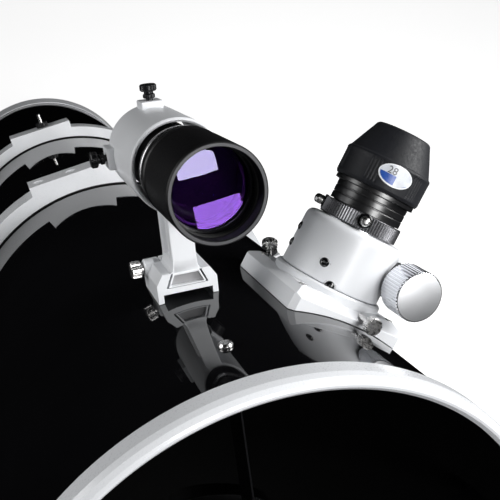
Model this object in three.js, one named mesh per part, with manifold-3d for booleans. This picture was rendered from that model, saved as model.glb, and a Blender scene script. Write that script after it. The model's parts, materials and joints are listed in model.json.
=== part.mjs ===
// Newtonian telescope tube carried in two hinged tube rings on a Dobsonian rocker box.
// Millimetres, +Z up, the mouth of the tube faces -Y, the foot of the base stands on Z = 0.
import * as THREE from 'three';
import { mergeVertices } from 'three/addons/utils/BufferGeometryUtils.js';
import Module from 'manifold-3d';

const wasm = await Module();
wasm.setup();

// ---------- driving dimensions ----------
const GAP = 0.3; // clearance between pieces that touch

const FOOT_HEIGHT = 22;
const FOOT_RADIUS = 24;
const FOOT_CIRCLE = 285;
const BOARD = 18; // laminated board thickness
const BASE_RADIUS = 330;
const AZIMUTH_BEARING_HEIGHT = 6;
const AXIS_HEIGHT = 750; // altitude axis above the floor
const ALTITUDE_DEG = 36.6; // elevation of the tube at rest
const ROLL_DEG = 10.4; // turn of the tube inside its rings at rest

const TUBE_RADIUS = 178.5;
const TUBE_WALL = 1.2;
const TUBE_FRONT = 6;
const TUBE_REAR = 1403;
const ALTITUDE_S = 822; // altitude axis, measured from the mouth
const MIRROR_RADIUS = 152.4;
const MIRROR_FRONT = 1322;
const MIRROR_THICKNESS = 35;
const MIRROR_FOCAL = 1500;

const RING_INNER = 180;
const RING_OUTER = 195;
const RING_WIDTH = 34;
const RING_FRONTS = [529.6, 887.6];
const RING_FLAT = 200; // flat pads stand this far from the tube axis
const PAD_HALF = 46.6;

const SIDE_INNER = 226; // inner face of the rocker sides
const PLATE_INNER = 200.3;
const PLATE_THICKNESS = 11;
const JOURNAL_RADIUS = 36;
const JOURNAL_S_GAP = 0.4;

const FINDER_X = -0.6;
const FINDER_Z = 270;
const SHOE_X = -4.6;
const SHOE_FRONT = 154;
const SHOE_LENGTH = 42;
const BRACKET_FRONT = 154.7;
const BRACKET_REAR = 235;
const BRACKET_RADIUS = 32.6;
const BRACKET_BORE = 29.6;
const ADJUSTER_S = 222;

const FOCUSER_S = 165; // focuser axis, measured from the mouth
const FOCUSER_DEG = 33.3; // focuser direction around the tube, from the finder
const BASE_HALF_A = 49.5;
const BASE_HALF_B = 52;
const DRAWTUBE_RADIUS = 28.2;
const DRAWTUBE_BORE = 25.6;
const SHAFT_RADIUS = 4.5;
const SHAFT_A = 35;
const SHAFT_H = 216.5;

// ---------- materials ----------
const paint = (color, roughness, metalness) =>
  new THREE.MeshStandardMaterial({ color, roughness, metalness });
const whiteBoard = () => paint(0xf1f0ec, 0.55, 0);
const whitePaint = () => paint(0xeeeeec, 0.35, 0);
const blackGloss = () => paint(0x08080a, 0.08, 0.1);
const blackMetal = () => paint(0x141416, 0.4, 0.5);
const blackPlastic = () => paint(0x111112, 0.5, 0);
const rubber = () => paint(0x0c0c0c, 0.85, 0);
const silver = () => paint(0xc9cbce, 0.3, 0.9);
const chrome = () => paint(0xd9dbde, 0.12, 1);
const nylon = () => paint(0xe2e0d8, 0.5, 0);
const cast = () => paint(0xb7b9bb, 0.5, 0.7);
const mirrorCoat = () => paint(0xe8ecef, 0.03, 1);
const lensCoat = () => paint(0x6a3fae, 0.05, 0.1);

// ---------- solid helpers ----------
const clean = (geometry) => {
  const bare = new THREE.BufferGeometry();
  bare.setAttribute('position', geometry.getAttribute('position').clone());
  if (geometry.index) bare.setIndex(geometry.index.clone());
  const merged = mergeVertices(bare, 1e-4);
  const source = merged.index.array;
  const kept = [];
  for (let i = 0; i < source.length; i += 3) {
    const [a, b, c] = [source[i], source[i + 1], source[i + 2]];
    if (a !== b && b !== c && c !== a) kept.push(a, b, c);
  }
  merged.setIndex(kept);
  return merged;
};

const toSolid = (geometry) => {
  const merged = clean(geometry);
  const mesh = new wasm.Mesh({
    numProp: 3,
    vertProperties: new Float32Array(merged.getAttribute('position').array),
    triVerts: new Uint32Array(merged.index.array),
  });
  return new wasm.Manifold(mesh);
};

const toGeometry = (solid) => {
  const mesh = solid.getMesh();
  const geometry = new THREE.BufferGeometry();
  geometry.setAttribute('position', new THREE.Float32BufferAttribute(mesh.vertProperties, 3));
  geometry.setIndex(new THREE.Uint32BufferAttribute(mesh.triVerts, 1));
  return geometry;
};

const join = (...pieces) =>
  toGeometry(pieces.map(toSolid).reduce((sum, piece) => sum.add(piece)));
const cut = (body, ...tools) =>
  toGeometry(tools.map(toSolid).reduce((left, tool) => left.subtract(tool), toSolid(body)));
const common = (one, two) => toGeometry(toSolid(one).intersect(toSolid(two)));

const box = (x0, x1, y0, y1, z0, z1) =>
  new THREE.BoxGeometry(x1 - x0, y1 - y0, z1 - z0).translate(
    (x0 + x1) / 2, (y0 + y1) / 2, (z0 + z1) / 2);

// cylinders and cones along +Y, +Z or +X, from one end to the other
const rodY = (radius, from, to, segments = 16, endRadius = radius) =>
  new THREE.CylinderGeometry(endRadius, radius, to - from, segments).translate(0, (from + to) / 2, 0);
const rodZ = (radius, from, to, segments = 16, endRadius = radius) =>
  rodY(radius, from, to, segments, endRadius).rotateX(Math.PI / 2);
const rodX = (radius, from, to, segments = 16, endRadius = radius) =>
  rodY(radius, from, to, segments, endRadius).rotateZ(-Math.PI / 2);

// a turned shape about Y from [radius, y] pairs, closed on itself or ending on the axis
const turned = (profile, segments = 32) => {
  const loop = profile.map(([r, y]) => new THREE.Vector2(r, y));
  const onAxis = profile[0][0] === 0 && profile[profile.length - 1][0] === 0;
  if (!onAxis) loop.push(loop[0].clone());
  let area = 0;
  loop.forEach((p, i) => {
    const q = loop[(i + 1) % loop.length];
    area += p.x * q.y - q.x * p.y;
  });
  if (area < 0) loop.reverse();
  return clean(new THREE.LatheGeometry(loop, segments));
};
const turnedZ = (profile, segments) => turned(profile, segments).rotateX(Math.PI / 2);

// a flat outline of [u, v] pairs pushed through a thickness: XZ outline along Y, YZ along X
const outline = (pairs) => new THREE.Shape(pairs.map(([u, v]) => new THREE.Vector2(u, v)));
const slabY = (pairs, from, to) =>
  new THREE.ExtrudeGeometry(outline(pairs), { depth: to - from, bevelEnabled: false, curveSegments: 16 })
    .rotateX(Math.PI / 2).translate(0, to, 0);
const slabX = (pairs, from, to) => {
  const geometry = new THREE.ExtrudeGeometry(outline(pairs), { depth: to - from, bevelEnabled: false });
  const turn = new THREE.Matrix4().set(0, 0, 1, from, 1, 0, 0, 0, 0, 1, 0, 0, 0, 0, 0, 1);
  return geometry.applyMatrix4(turn);
};
const arc = (radius, fromDeg, toDeg, steps) =>
  Array.from({ length: steps + 1 }, (unused, i) => {
    const angle = THREE.MathUtils.degToRad(fromDeg + ((toDeg - fromDeg) * i) / steps);
    return [radius * Math.cos(angle), radius * Math.sin(angle)];
  });

// a round knob with grip flutes, along +Y
const fluted = (radius, from, to, flutes, depth) => {
  const points = [];
  for (let i = 0; i < flutes * 2; i += 1) {
    const angle = (Math.PI * i) / flutes;
    const r = i % 2 ? radius - depth : radius;
    points.push([r * Math.cos(angle), r * Math.sin(angle)]);
  }
  return slabY(points, from, to);
};

// ---------- frames ----------
const rad = THREE.MathUtils.degToRad;
const turnX = (deg) => new THREE.Matrix4().makeRotationX(rad(deg));
const turnY = (deg) => new THREE.Matrix4().makeRotationY(rad(deg));
const turnZ = (deg) => new THREE.Matrix4().makeRotationZ(rad(deg));

const model = new THREE.Group();
model.name = 'dobsonian_telescope';
const frame = (name, parent, x, y, z) => {
  const group = new THREE.Group();
  group.name = name;
  group.position.set(x, y, z);
  parent.add(group);
  return group;
};
const stand = frame('stand', model, 0, 0, 0);
const altitude = frame('altitude_axis', stand, 0, 0, AXIS_HEIGHT);
altitude.rotation.x = rad(-ALTITUDE_DEG);
const cradle = frame('cradle_frame', altitude, 0, -ALTITUDE_S, 0);
const roll = frame('roll_in_the_rings', altitude, 0, 0, 0);
roll.rotation.y = rad(ROLL_DEG);
const ota = frame('tube_frame', roll, 0, -ALTITUDE_S, 0);
const focuser = frame('focuser_frame', ota, 0, FOCUSER_S, 0);
focuser.rotation.y = rad(FOCUSER_DEG);

const add = (name, parent, geometry, material) => {
  const placed = clean(geometry);
  placed.computeVertexNormals();
  const mesh = new THREE.Mesh(placed, material);
  mesh.name = name;
  parent.add(mesh);
};

// ---------- ground board, feet, azimuth bearing, rocker box ----------
const groundTop = FOOT_HEIGHT + BOARD;
const bearingTop = groundTop + GAP + AZIMUTH_BEARING_HEIGHT;
const floorBottom = bearingTop + GAP;
const floorTop = floorBottom + BOARD;
const PIVOT_HOLE = 7;
const BEARING_INNER = 120;
const BEARING_OUTER = 180;
const BOLT_HEAD = 13;
const BOLT_SHANK = 6;
const BOLT_GRIP = 26;
const BOLT_BOTTOM = FOOT_HEIGHT - 7;
const BOLT_TOP = floorTop + 19;

add('ground_board', stand,
  cut(rodZ(BASE_RADIUS, FOOT_HEIGHT + GAP, groundTop, 40), rodZ(PIVOT_HOLE, 0, 60, 12)), whiteBoard());
for (let i = 0; i < 3; i += 1) {
  const angle = rad(90 + 120 * i);
  add(`foot_${i + 1}`, stand,
    rodZ(FOOT_RADIUS - 3, 0, FOOT_HEIGHT, 24, FOOT_RADIUS)
      .translate(FOOT_CIRCLE * Math.cos(angle), FOOT_CIRCLE * Math.sin(angle), 0), rubber());
}
add('azimuth_bearing', stand,
  turnedZ([
    [BEARING_INNER, groundTop + GAP], [BEARING_OUTER, groundTop + GAP],
    [BEARING_OUTER, bearingTop], [BEARING_INNER, bearingTop],
  ], 22), nylon());
add('azimuth_bolt', stand,
  turnedZ([
    [0, BOLT_BOTTOM], [BOLT_HEAD, BOLT_BOTTOM], [BOLT_HEAD, FOOT_HEIGHT], [BOLT_SHANK, FOOT_HEIGHT],
    [BOLT_SHANK, floorTop + GAP], [BOLT_GRIP, floorTop + GAP], [BOLT_GRIP, BOLT_TOP - 4],
    [BOLT_GRIP - 4, BOLT_TOP], [0, BOLT_TOP],
  ], 16), blackPlastic());
add('rocker_floor', stand,
  cut(rodZ(BASE_RADIUS, floorBottom, floorTop, 40), rodZ(PIVOT_HOLE, 30, 90, 12)), whiteBoard());

// rocker sides: tapered boards with a round-bottomed notch that holds the bearing saddle
const SIDE_FRONT = -233;
const SIDE_REAR = 205;
const NOTCH = 43;
const SIDE_TOP = AXIS_HEIGHT + 6;
const NECK_TOP = AXIS_HEIGHT - 34;
const NECK_HALF = 56;
const FRONT_TOP = AXIS_HEIGHT - 330;
const sideOutline = [
  [SIDE_FRONT, floorTop + GAP], [SIDE_REAR, floorTop + GAP], [SIDE_REAR, floorTop + 120],
  [120, AXIS_HEIGHT - 180], [NECK_HALF, NECK_TOP], [NECK_HALF - 1, SIDE_TOP], [NOTCH, SIDE_TOP],
  ...arc(NOTCH, 0, -180, 12).map(([y, z]) => [y, z + AXIS_HEIGHT]),
  [-NOTCH, SIDE_TOP], [1 - NECK_HALF, SIDE_TOP], [-NECK_HALF, NECK_TOP], [-130, AXIS_HEIGHT - 200],
  [-200, AXIS_HEIGHT - 300], [SIDE_FRONT, FRONT_TOP],
];
const saddleOutline = [
  ...arc(NOTCH - GAP, 0, -180, 12), ...arc(JOURNAL_RADIUS + JOURNAL_S_GAP, -180, 0, 12),
].map(([y, z]) => [y, z + AXIS_HEIGHT]);
const SIDE_OUTER = SIDE_INNER + BOARD;
for (const [side, sign] of [['left', -1], ['right', 1]]) {
  const near = sign < 0 ? -SIDE_OUTER : SIDE_INNER;
  add(`rocker_side_${side}`, stand, slabX(sideOutline, near, near + BOARD), whiteBoard());
  add(`bearing_saddle_${side}`, stand, slabX(saddleOutline, near, near + BOARD), nylon());
}
add('rocker_front_board', stand,
  box(-SIDE_INNER + GAP, SIDE_INNER - GAP, SIDE_FRONT, SIDE_FRONT + BOARD, floorTop + GAP, FRONT_TOP),
  whiteBoard());
const HANDLE_Z = FRONT_TOP - 80;
const HANDLE_HALF = 70;
const HANDLE_POST = 14;
const HANDLE_REACH = 42;
const handleBar = (x0, x1, y0, y1) =>
  box(x0, x1, SIDE_FRONT - y0, SIDE_FRONT - y1, HANDLE_Z - 9, HANDLE_Z + 9);
add('carry_handle', stand,
  join(
    handleBar(-HANDLE_HALF, HANDLE_HALF, HANDLE_REACH, HANDLE_REACH - 12),
    handleBar(-HANDLE_HALF, HANDLE_POST - HANDLE_HALF, HANDLE_REACH - 6, GAP),
    handleBar(HANDLE_HALF - HANDLE_POST, HANDLE_HALF, HANDLE_REACH - 6, GAP)),
  blackPlastic());

// ---------- cradle: trunnion plates, altitude bearings, tube rings ----------
const LUG_Z = 12; // half height of the clamping lugs on each side of the split
const HINGE_X = -206;
const CLAMP_X = 207;
const KNUCKLE_RADIUS = 8;
const KNUCKLE_END = 11; // length of the outer knuckles, on each side of the middle one
const PIN_RADIUS = 3;
const HINGE_ROOT = -186;
const RING_FOOT_LOW = -118;
const RING_FOOT_HIGH = -30;
const RING_FOOT_X = 160;
const ringHalf = (front, upper) => {
  const rear = front + RING_WIDTH;
  const sign = upper ? 1 : -1;
  const split = GAP;
  const hingeRod = (radius, from, to, segments) =>
    rodY(radius, from, to, segments).translate(HINGE_X, 0, 0);
  const band = cut(
    join(
      rodY(RING_OUTER, front, rear, 48),
      box(-PAD_HALF, PAD_HALF, front, rear, sign > 0 ? 150 : -RING_FLAT, sign > 0 ? RING_FLAT : -150)),
    rodY(RING_INNER, front - 5, rear + 5, 48),
    sign > 0 ? box(-230, 230, front - 5, rear + 5, -230, split)
      : box(-230, 230, front - 5, rear + 5, -split, 230));
  const lugZ = sign > 0 ? [split, LUG_Z] : [-LUG_Z, -split];
  const clampLug = cut(
    box(188, 216, front + 6, rear - 6, lugZ[0], lugZ[1]),
    rodZ(3.4, -20, 20, 10).translate(CLAMP_X, (front + rear) / 2, 0));
  const knuckle = sign > 0
    ? join(
      hingeRod(KNUCKLE_RADIUS, front + KNUCKLE_END + 0.5, rear - KNUCKLE_END - 0.5, 12),
      box(HINGE_X, HINGE_ROOT, front + KNUCKLE_END + 0.5, rear - KNUCKLE_END - 0.5, split, KNUCKLE_RADIUS))
    : join(
      hingeRod(KNUCKLE_RADIUS, front + 2, front + KNUCKLE_END, 12),
      hingeRod(KNUCKLE_RADIUS, rear - KNUCKLE_END, rear - 2, 12),
      hingeRod(PIN_RADIUS, front + 2, rear - 2, 10),
      box(HINGE_X, HINGE_ROOT, front + 2, front + KNUCKLE_END, -KNUCKLE_RADIUS, -split),
      box(HINGE_X, HINGE_ROOT, rear - KNUCKLE_END, rear - 2, -KNUCKLE_RADIUS, -split));
  const pieces = [band, clampLug];
  if (sign < 0) {
    const foot = (x0, x1) => cut(
      box(x0, x1, front, rear, RING_FOOT_LOW, RING_FOOT_HIGH), rodY(RING_INNER, front - 5, rear + 5, 48));
    pieces.push(foot(-PLATE_INNER + GAP, -RING_FOOT_X), foot(RING_FOOT_X, PLATE_INNER - GAP));
  }
  let body = join(...pieces);
  if (sign > 0) {
    body = join(cut(body, hingeRod(KNUCKLE_RADIUS + 0.4, front + 1, rear - 1, 12)), knuckle);
    body = cut(body, hingeRod(PIN_RADIUS + GAP, front - 5, rear + 5, 10));
  } else {
    body = cut(body, hingeRod(KNUCKLE_RADIUS + 0.4, front + KNUCKLE_END, rear - KNUCKLE_END, 12));
    body = join(body, knuckle);
  }
  return body;
};
const ringNames = ['front', 'rear'];
RING_FRONTS.forEach((front, i) => {
  const middle = front + RING_WIDTH / 2;
  add(`tube_ring_${ringNames[i]}_lower`, cradle, ringHalf(front, false), whitePaint());
  add(`tube_ring_${ringNames[i]}_upper`, cradle, ringHalf(front, true), whitePaint());
  // clamp bolt with a knurled head: the threaded end sits in the lower lug
  add(`ring_clamp_knob_${ringNames[i]}`, cradle,
    join(rodZ(3, -10, LUG_Z + 2, 10), rodZ(8.5, LUG_Z + GAP, LUG_Z + 16, 12)).translate(CLAMP_X, middle, 0),
    blackPlastic());
});
add('piggyback_stud', cradle,
  join(rodZ(9, RING_FLAT + GAP, RING_FLAT + 8, 12), rodZ(3.1, RING_FLAT + 5, RING_FLAT + 21, 10))
    .translate(6, RING_FRONTS[1] + RING_WIDTH / 2, 0), blackMetal());

// trunnion plates run from ring foot to ring foot and rise to the altitude axis in the middle
const BEARING_FLANGE = 46; // radius of the bearing's inner flange
const PLATE_SHOULDER = -34;
const PLATE_TOP = 40;
const [plateFront, plateRear] = [RING_FRONTS[0], RING_FRONTS[1] + RING_WIDTH];
const plateOutline = [
  [plateFront, RING_FOOT_LOW], [plateRear, RING_FOOT_LOW], [plateRear, PLATE_SHOULDER],
  [RING_FRONTS[1] - 8, PLATE_SHOULDER], [ALTITUDE_S + BEARING_FLANGE, PLATE_TOP],
  [ALTITUDE_S - BEARING_FLANGE, PLATE_TOP], [plateFront + RING_WIDTH + 40, PLATE_SHOULDER],
  [plateFront, PLATE_SHOULDER],
];
const PLATE_OUTER = PLATE_INNER + PLATE_THICKNESS;
for (const [side, sign] of [['left', -1], ['right', 1]]) {
  const inner = sign < 0 ? -PLATE_OUTER : PLATE_INNER;
  add(`trunnion_plate_${side}`, cradle, slabX(plateOutline, inner, inner + PLATE_THICKNESS), whitePaint());
  const seat = frame(`bearing_seat_${side}`, altitude, 0, 0, 0);
  seat.rotation.y = sign < 0 ? Math.PI : 0;
  add(`altitude_bearing_${side}`, seat,
    cut(
      join(
        rodX(BEARING_FLANGE, PLATE_OUTER + GAP, PLATE_OUTER + 8, 24),
        rodX(JOURNAL_RADIUS, PLATE_OUTER + 7, SIDE_OUTER + 1.5, 24),
        rodX(BEARING_FLANGE + 4, SIDE_OUTER + 1, SIDE_OUTER + 6, 24)),
      rodX(4.4, SIDE_OUTER - 14, SIDE_OUTER + 7, 10)), blackPlastic());
  add(`altitude_knob_${side}`, seat,
    join(rodX(4, SIDE_OUTER - 13.5, SIDE_OUTER + 8, 10),
      fluted(19, 0, 13, 12, 1.6).rotateZ(-Math.PI / 2).translate(SIDE_OUTER + 6 + GAP, 0, 0)),
    blackPlastic());
}

// ---------- optical tube ----------
const spiderAngles = [-2, 88, 178, 268];
const SPIDER_S = 68;
const inRadial = (geometry, deg) => geometry.applyMatrix4(turnY(deg));
const TUBE_BORE = TUBE_RADIUS - TUBE_WALL;
add('tube', ota,
  cut(
    turned([
      [TUBE_RADIUS, TUBE_FRONT], [TUBE_RADIUS, TUBE_REAR], [TUBE_BORE, TUBE_REAR], [TUBE_BORE, TUBE_FRONT],
    ], 48),
    rodZ(31, 120, 220, 24).applyMatrix4(turnY(FOCUSER_DEG)).translate(0, FOCUSER_S, 0),
    ...spiderAngles.map((deg) => inRadial(rodZ(2.6, 150, 200, 12).translate(0, SPIDER_S, 0), deg))),
  blackGloss());
const FRONT_RING_OUTER = 183.5;
const FRONT_RING_BORE = 174.2;
const FRONT_RING_REAR = 19;
add('front_ring', ota,
  turned([
    [FRONT_RING_BORE, 3], [FRONT_RING_BORE + 2.3, 0], [180, 0.6], [FRONT_RING_OUTER - 0.5, 5],
    [FRONT_RING_OUTER, FRONT_RING_REAR], [TUBE_RADIUS + GAP, FRONT_RING_REAR],
    [TUBE_RADIUS + GAP, TUBE_FRONT - GAP], [FRONT_RING_BORE, TUBE_FRONT - GAP],
  ], 48), whitePaint());

const KNOB_CIRCLE = 118;
const KNOB_ANGLES = [0, 120, 240];
const SPOKE_FRONT = 1394;
const SPOKE_REAR = 1402;
const REAR_RING_BACK = 1409;
const REAR_RING_BORE = 170;
const HUB_RADIUS = 34;
const rearSpokes = KNOB_ANGLES.map((deg) =>
  inRadial(box(-13, 13, SPOKE_FRONT, SPOKE_REAR, 20, 176), deg));
const knobHoles = KNOB_ANGLES.map((deg) =>
  inRadial(rodY(4.4, 1380, 1420, 10).translate(0, 0, KNOB_CIRCLE), deg));
add('rear_ring', ota,
  cut(
    join(
      turned([
        [TUBE_RADIUS + GAP, 1374], [181, 1374], [186.3, 1404], [185, REAR_RING_BACK],
        [REAR_RING_BORE, REAR_RING_BACK], [REAR_RING_BORE, SPOKE_FRONT], [TUBE_BORE - GAP, SPOKE_FRONT],
        [TUBE_BORE - GAP, TUBE_REAR + GAP], [TUBE_RADIUS + GAP, TUBE_REAR + GAP],
      ], 48),
      rodY(HUB_RADIUS, SPOKE_FRONT, SPOKE_REAR, 32), ...rearSpokes),
    ...knobHoles), whitePaint());
const MIRROR_REAR = MIRROR_FRONT + MIRROR_THICKNESS;
const CELL_FRONT = MIRROR_REAR + GAP;
const CELL_RADIUS = MIRROR_RADIUS + 6;
const CELL_REAR = CELL_FRONT + 9;
const VENT_CIRCLE = 86;
const VENT_RADIUS = 21;
const clips = [60, 180, 300].map((deg) =>
  inRadial(join(
    box(-9, 9, MIRROR_FRONT - 5, CELL_REAR - 1, MIRROR_RADIUS + GAP + 0.3, CELL_RADIUS),
    box(-9, 9, MIRROR_FRONT - 5, MIRROR_FRONT - 0.6, MIRROR_RADIUS - 9, CELL_RADIUS)), deg));
const vents = Array.from({ length: 6 }, (unused, i) =>
  inRadial(rodY(VENT_RADIUS, CELL_FRONT - 5, CELL_FRONT + 20, 12).translate(0, 0, VENT_CIRCLE),
    60 * i + 30));
add('mirror_cell', ota,
  cut(
    join(rodY(CELL_RADIUS, CELL_FRONT, CELL_REAR, 40), ...clips),
    rodY(40, CELL_FRONT - 5, CELL_FRONT + 20, 32),
    ...vents), cast());
const sag = (r) => (r * r) / (4 * MIRROR_FOCAL);
const dish = [0, 40, 80, 118, 151].map((r) => [r, MIRROR_FRONT + sag(MIRROR_RADIUS) - sag(r)]);
add('primary_mirror', ota,
  turned([
    ...dish, [MIRROR_RADIUS, MIRROR_FRONT + 1], [MIRROR_RADIUS, MIRROR_REAR], [0, MIRROR_REAR],
  ], 40), mirrorCoat());
KNOB_ANGLES.forEach((deg, i) => {
  const knob = join(
    rodY(4, CELL_REAR + GAP, SPOKE_REAR + 2, 10),
    fluted(12, SPOKE_REAR + 0.4, SPOKE_REAR + 20, 10, 1.4));
  add(`collimation_knob_${i + 1}`, ota, inRadial(knob.translate(0, 0, KNOB_CIRCLE), deg), blackPlastic());
});

// ---------- spider and secondary ----------
const VANE_HALF = 14; // half the width of a vane, along the tube
const vane = (deg) => inRadial(join(
  box(-0.6, 0.6, SPIDER_S - VANE_HALF, SPIDER_S + VANE_HALF, 15, 173),
  box(-4, 4, SPIDER_S - VANE_HALF, SPIDER_S + VANE_HALF, 172, TUBE_BORE - GAP - 0.2),
  rodZ(2.2, 170, TUBE_RADIUS + 1.2, 8).translate(0, SPIDER_S, 0),
  rodZ(4.6, TUBE_RADIUS + GAP, TUBE_RADIUS + 2.8, 8, 3.4).translate(0, SPIDER_S, 0)), deg);
add('spider', ota,
  cut(join(rodY(19, SPIDER_S - VANE_HALF, SPIDER_S + VANE_HALF, 32), ...spiderAngles.map(vane)),
    rodY(3.4, SPIDER_S - 30, SPIDER_S + 30, 10)), blackMetal());
const SECONDARY_RADIUS = 35;
const slantBox = (near, far) =>
  box(-60, 60, near, far, -90, 90).applyMatrix4(turnX(45));
const HOLDER_TOP = SPIDER_S + VANE_HALF + GAP - FOCUSER_S;
add('secondary_mirror', focuser,
  common(rodY(SECONDARY_RADIUS, -70, 70, 24), slantBox(-10, 0)), mirrorCoat());
add('secondary_holder', focuser,
  cut(
    join(rodY(SECONDARY_RADIUS - 2, HOLDER_TOP, 60, 24), rodY(3, HOLDER_TOP - 40, HOLDER_TOP + 2, 10)),
    slantBox(-10 - GAP, 96)), blackPlastic());

// ---------- finder shoe, bracket and finder ----------
const SHOE_HALF = 21.6;
const SHOE_TOP = 197.8;
const DOVETAIL_HALF = [15.2, 10.6]; // half width of the groove at its floor and at its mouth
const DOVETAIL_FLOOR = 187.2;
const shoeProfile = [
  [-SHOE_HALF, 172], [SHOE_HALF, 172], [SHOE_HALF, 190.5], [17, SHOE_TOP], [DOVETAIL_HALF[1], SHOE_TOP],
  [DOVETAIL_HALF[0], DOVETAIL_FLOOR], [-DOVETAIL_HALF[0], DOVETAIL_FLOOR], [-DOVETAIL_HALF[1], SHOE_TOP],
  [-17, SHOE_TOP], [-SHOE_HALF, 190.5],
].map(([x, z]) => [x + SHOE_X, z]);
const SHOE_REAR = SHOE_FRONT + SHOE_LENGTH;
const SHOE_SCREW_S = SHOE_FRONT + 34;
const SHOE_SCREW_Z = 193.5;
add('finder_shoe', ota,
  cut(
    slabY(shoeProfile, SHOE_FRONT, SHOE_REAR),
    rodY(TUBE_RADIUS + GAP, SHOE_FRONT - 5, SHOE_REAR + 5, 96),
    box(SHOE_X - 15, SHOE_X + 15, SHOE_FRONT - 5, SHOE_REAR + 5, 170, 181),
    rodX(2.9, -60, SHOE_X, 10).translate(0, SHOE_SCREW_S, SHOE_SCREW_Z)), whitePaint());
add('shoe_thumbscrew', ota,
  join(
    rodX(2.5, SHOE_X - 30, SHOE_X - 14.2, 10),
    rodX(5, SHOE_X - 26, SHOE_X - 21.9, 12),
    fluted(6.2, 0, 7.5, 14, 0.6).rotateZ(Math.PI / 2).translate(SHOE_X - 25, 0, 0))
    .translate(0, SHOE_SCREW_S, SHOE_SCREW_Z), chrome());

const footProfile = [
  [-14.4, 187.6], [14.4, 187.6], [10, 197.4], [-10, 197.4],
].map(([x, z]) => [x + SHOE_X, z]);
const cutterZ = (deg, radius) => rodZ(radius, 10, 60, 10)
  .applyMatrix4(turnY(deg)).translate(FINDER_X, ADJUSTER_S, FINDER_Z);
const boss = (deg) => box(-8, 8, ADJUSTER_S - 9, ADJUSTER_S + 9, 27, 37)
  .applyMatrix4(turnY(deg)).translate(FINDER_X, 0, FINDER_Z);
const ADJUSTERS = [0, -90];
const PLUNGER_DEG = 135;
const STEM_HALF = 8.6;
const RECESS = 2.6; // depth of the stem's side recesses
const bracketRing = [
  [BRACKET_BORE, BRACKET_FRONT + 1], [BRACKET_BORE + 1, BRACKET_FRONT],
  [BRACKET_RADIUS - 1.5, BRACKET_FRONT], [BRACKET_RADIUS, BRACKET_FRONT + 1.5],
  [BRACKET_RADIUS, BRACKET_REAR - 1.5], [BRACKET_RADIUS - 1.5, BRACKET_REAR], [BRACKET_BORE, BRACKET_REAR],
];
add('finder_bracket', ota,
  cut(
    join(
      turned(bracketRing, 32).translate(FINDER_X, 0, FINDER_Z),
      cut(join(...[...ADJUSTERS, PLUNGER_DEG].map(boss)),
        rodY(BRACKET_BORE + 0.5, 200, 250, 32).translate(FINDER_X, 0, FINDER_Z)),
      box(SHOE_X - STEM_HALF, SHOE_X + STEM_HALF, BRACKET_FRONT, BRACKET_FRONT + 30, 196, FINDER_Z - 30.6),
      slabY(footProfile, SHOE_FRONT, SHOE_REAR + 2)),
    ...ADJUSTERS.map((deg) => cutterZ(deg, 2.9)), cutterZ(PLUNGER_DEG, 4.3),
    ...[-1, 1].map((side) => box(
      SHOE_X + side * STEM_HALF - RECESS, SHOE_X + side * STEM_HALF + RECESS,
      BRACKET_FRONT + 6, BRACKET_FRONT + 24, 202, FINDER_Z - 36))), whitePaint());
ADJUSTERS.forEach((deg, i) => {
  add(`finder_adjuster_${i + 1}`, ota,
    join(
      rodZ(2.5, 27, 44, 10), rodZ(4.4, 38.6, 41.6, 6), fluted(6.2, 43, 48.6, 16, 0.7).rotateX(Math.PI / 2))
      .applyMatrix4(turnY(deg)).translate(FINDER_X, ADJUSTER_S, FINDER_Z), blackMetal());
});
add('finder_spring_plunger', ota,
  join(rodZ(3.9, 27, 50, 12), rodZ(6.5, 37 + GAP, 50, 12))
    .applyMatrix4(turnY(PLUNGER_DEG)).translate(FINDER_X, ADJUSTER_S, FINDER_Z), blackMetal());

const CELL_OUTER = 30.1;
const CELL_BORE = 27;
const finder = (profile, segments) => turned(profile, segments).translate(FINDER_X, 0, FINDER_Z);
add('finder_tube', ota,
  finder([
    [25.5, 130], [25.5, 238], [18, 250], [14, 250], [14, 246], [22.5, 236], [22.5, 98], [25.5, 98],
  ], 22), blackMetal());
add('finder_objective_cell', ota,
  finder([
    [CELL_BORE, 69.4], [CELL_OUTER, 69.4], [CELL_OUTER, 121], [29.2, 122.5], [29.2, 128],
    [CELL_OUTER, 129.5], [CELL_OUTER, 134], [26, 134], [26, 97], [CELL_BORE, 96],
  ], 22), blackGloss());
add('finder_lens', ota,
  finder([[0, 90], [14, 90.7], [26.4, 93], [26.4, 96], [0, 97.2]], 24), lensCoat());
add('finder_eyepiece', ota,
  finder([[11, 250.4], [17.5, 250.4], [17.5, 272], [15.5, 286], [10, 286], [10, 284], [11, 280]], 32),
  rubber());

// ---------- focuser ----------
const BASE_TOP = 189.5;
const BASE_SLOPE = 8;
const FLANGE_RADIUS = 43;
const FLANGE_TOP = 194.7;
const baseProfile = [
  [-BASE_HALF_A, 165], [BASE_HALF_A, 165], [BASE_HALF_A, BASE_TOP - 5.5],
  [BASE_HALF_A - BASE_SLOPE, BASE_TOP], [BASE_SLOPE - BASE_HALF_A, BASE_TOP], [-BASE_HALF_A, BASE_TOP - 5.5],
];
const LOCK_FRONT = [8, -BASE_HALF_B, 185.6];
const LOCK_REAR = [-30, BASE_HALF_B - 3, 187.5];
const LOCK_REAR_TILT = 45; // the rear screw leans up and away from the base
const lockFront = (geometry) => geometry.applyMatrix4(turnZ(180)).translate(...LOCK_FRONT);
const lockRear = (geometry) => geometry.applyMatrix4(turnX(LOCK_REAR_TILT)).translate(...LOCK_REAR);
add('focuser_base', focuser,
  cut(
    join(slabY(baseProfile, -BASE_HALF_B, BASE_HALF_B), rodZ(FLANGE_RADIUS, 180, FLANGE_TOP, 32)),
    rodY(TUBE_RADIUS + GAP, -80, 80, 96),
    rodZ(30.5, 150, 210, 24),
    lockFront(rodY(2.7, -8, 8, 10)), lockRear(rodY(2.7, -8, 8, 10))), whitePaint());
const lockScrew = () => join(rodY(2.3, -7.6, 14, 10), rodY(6.5, 9, 15, 16));
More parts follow.
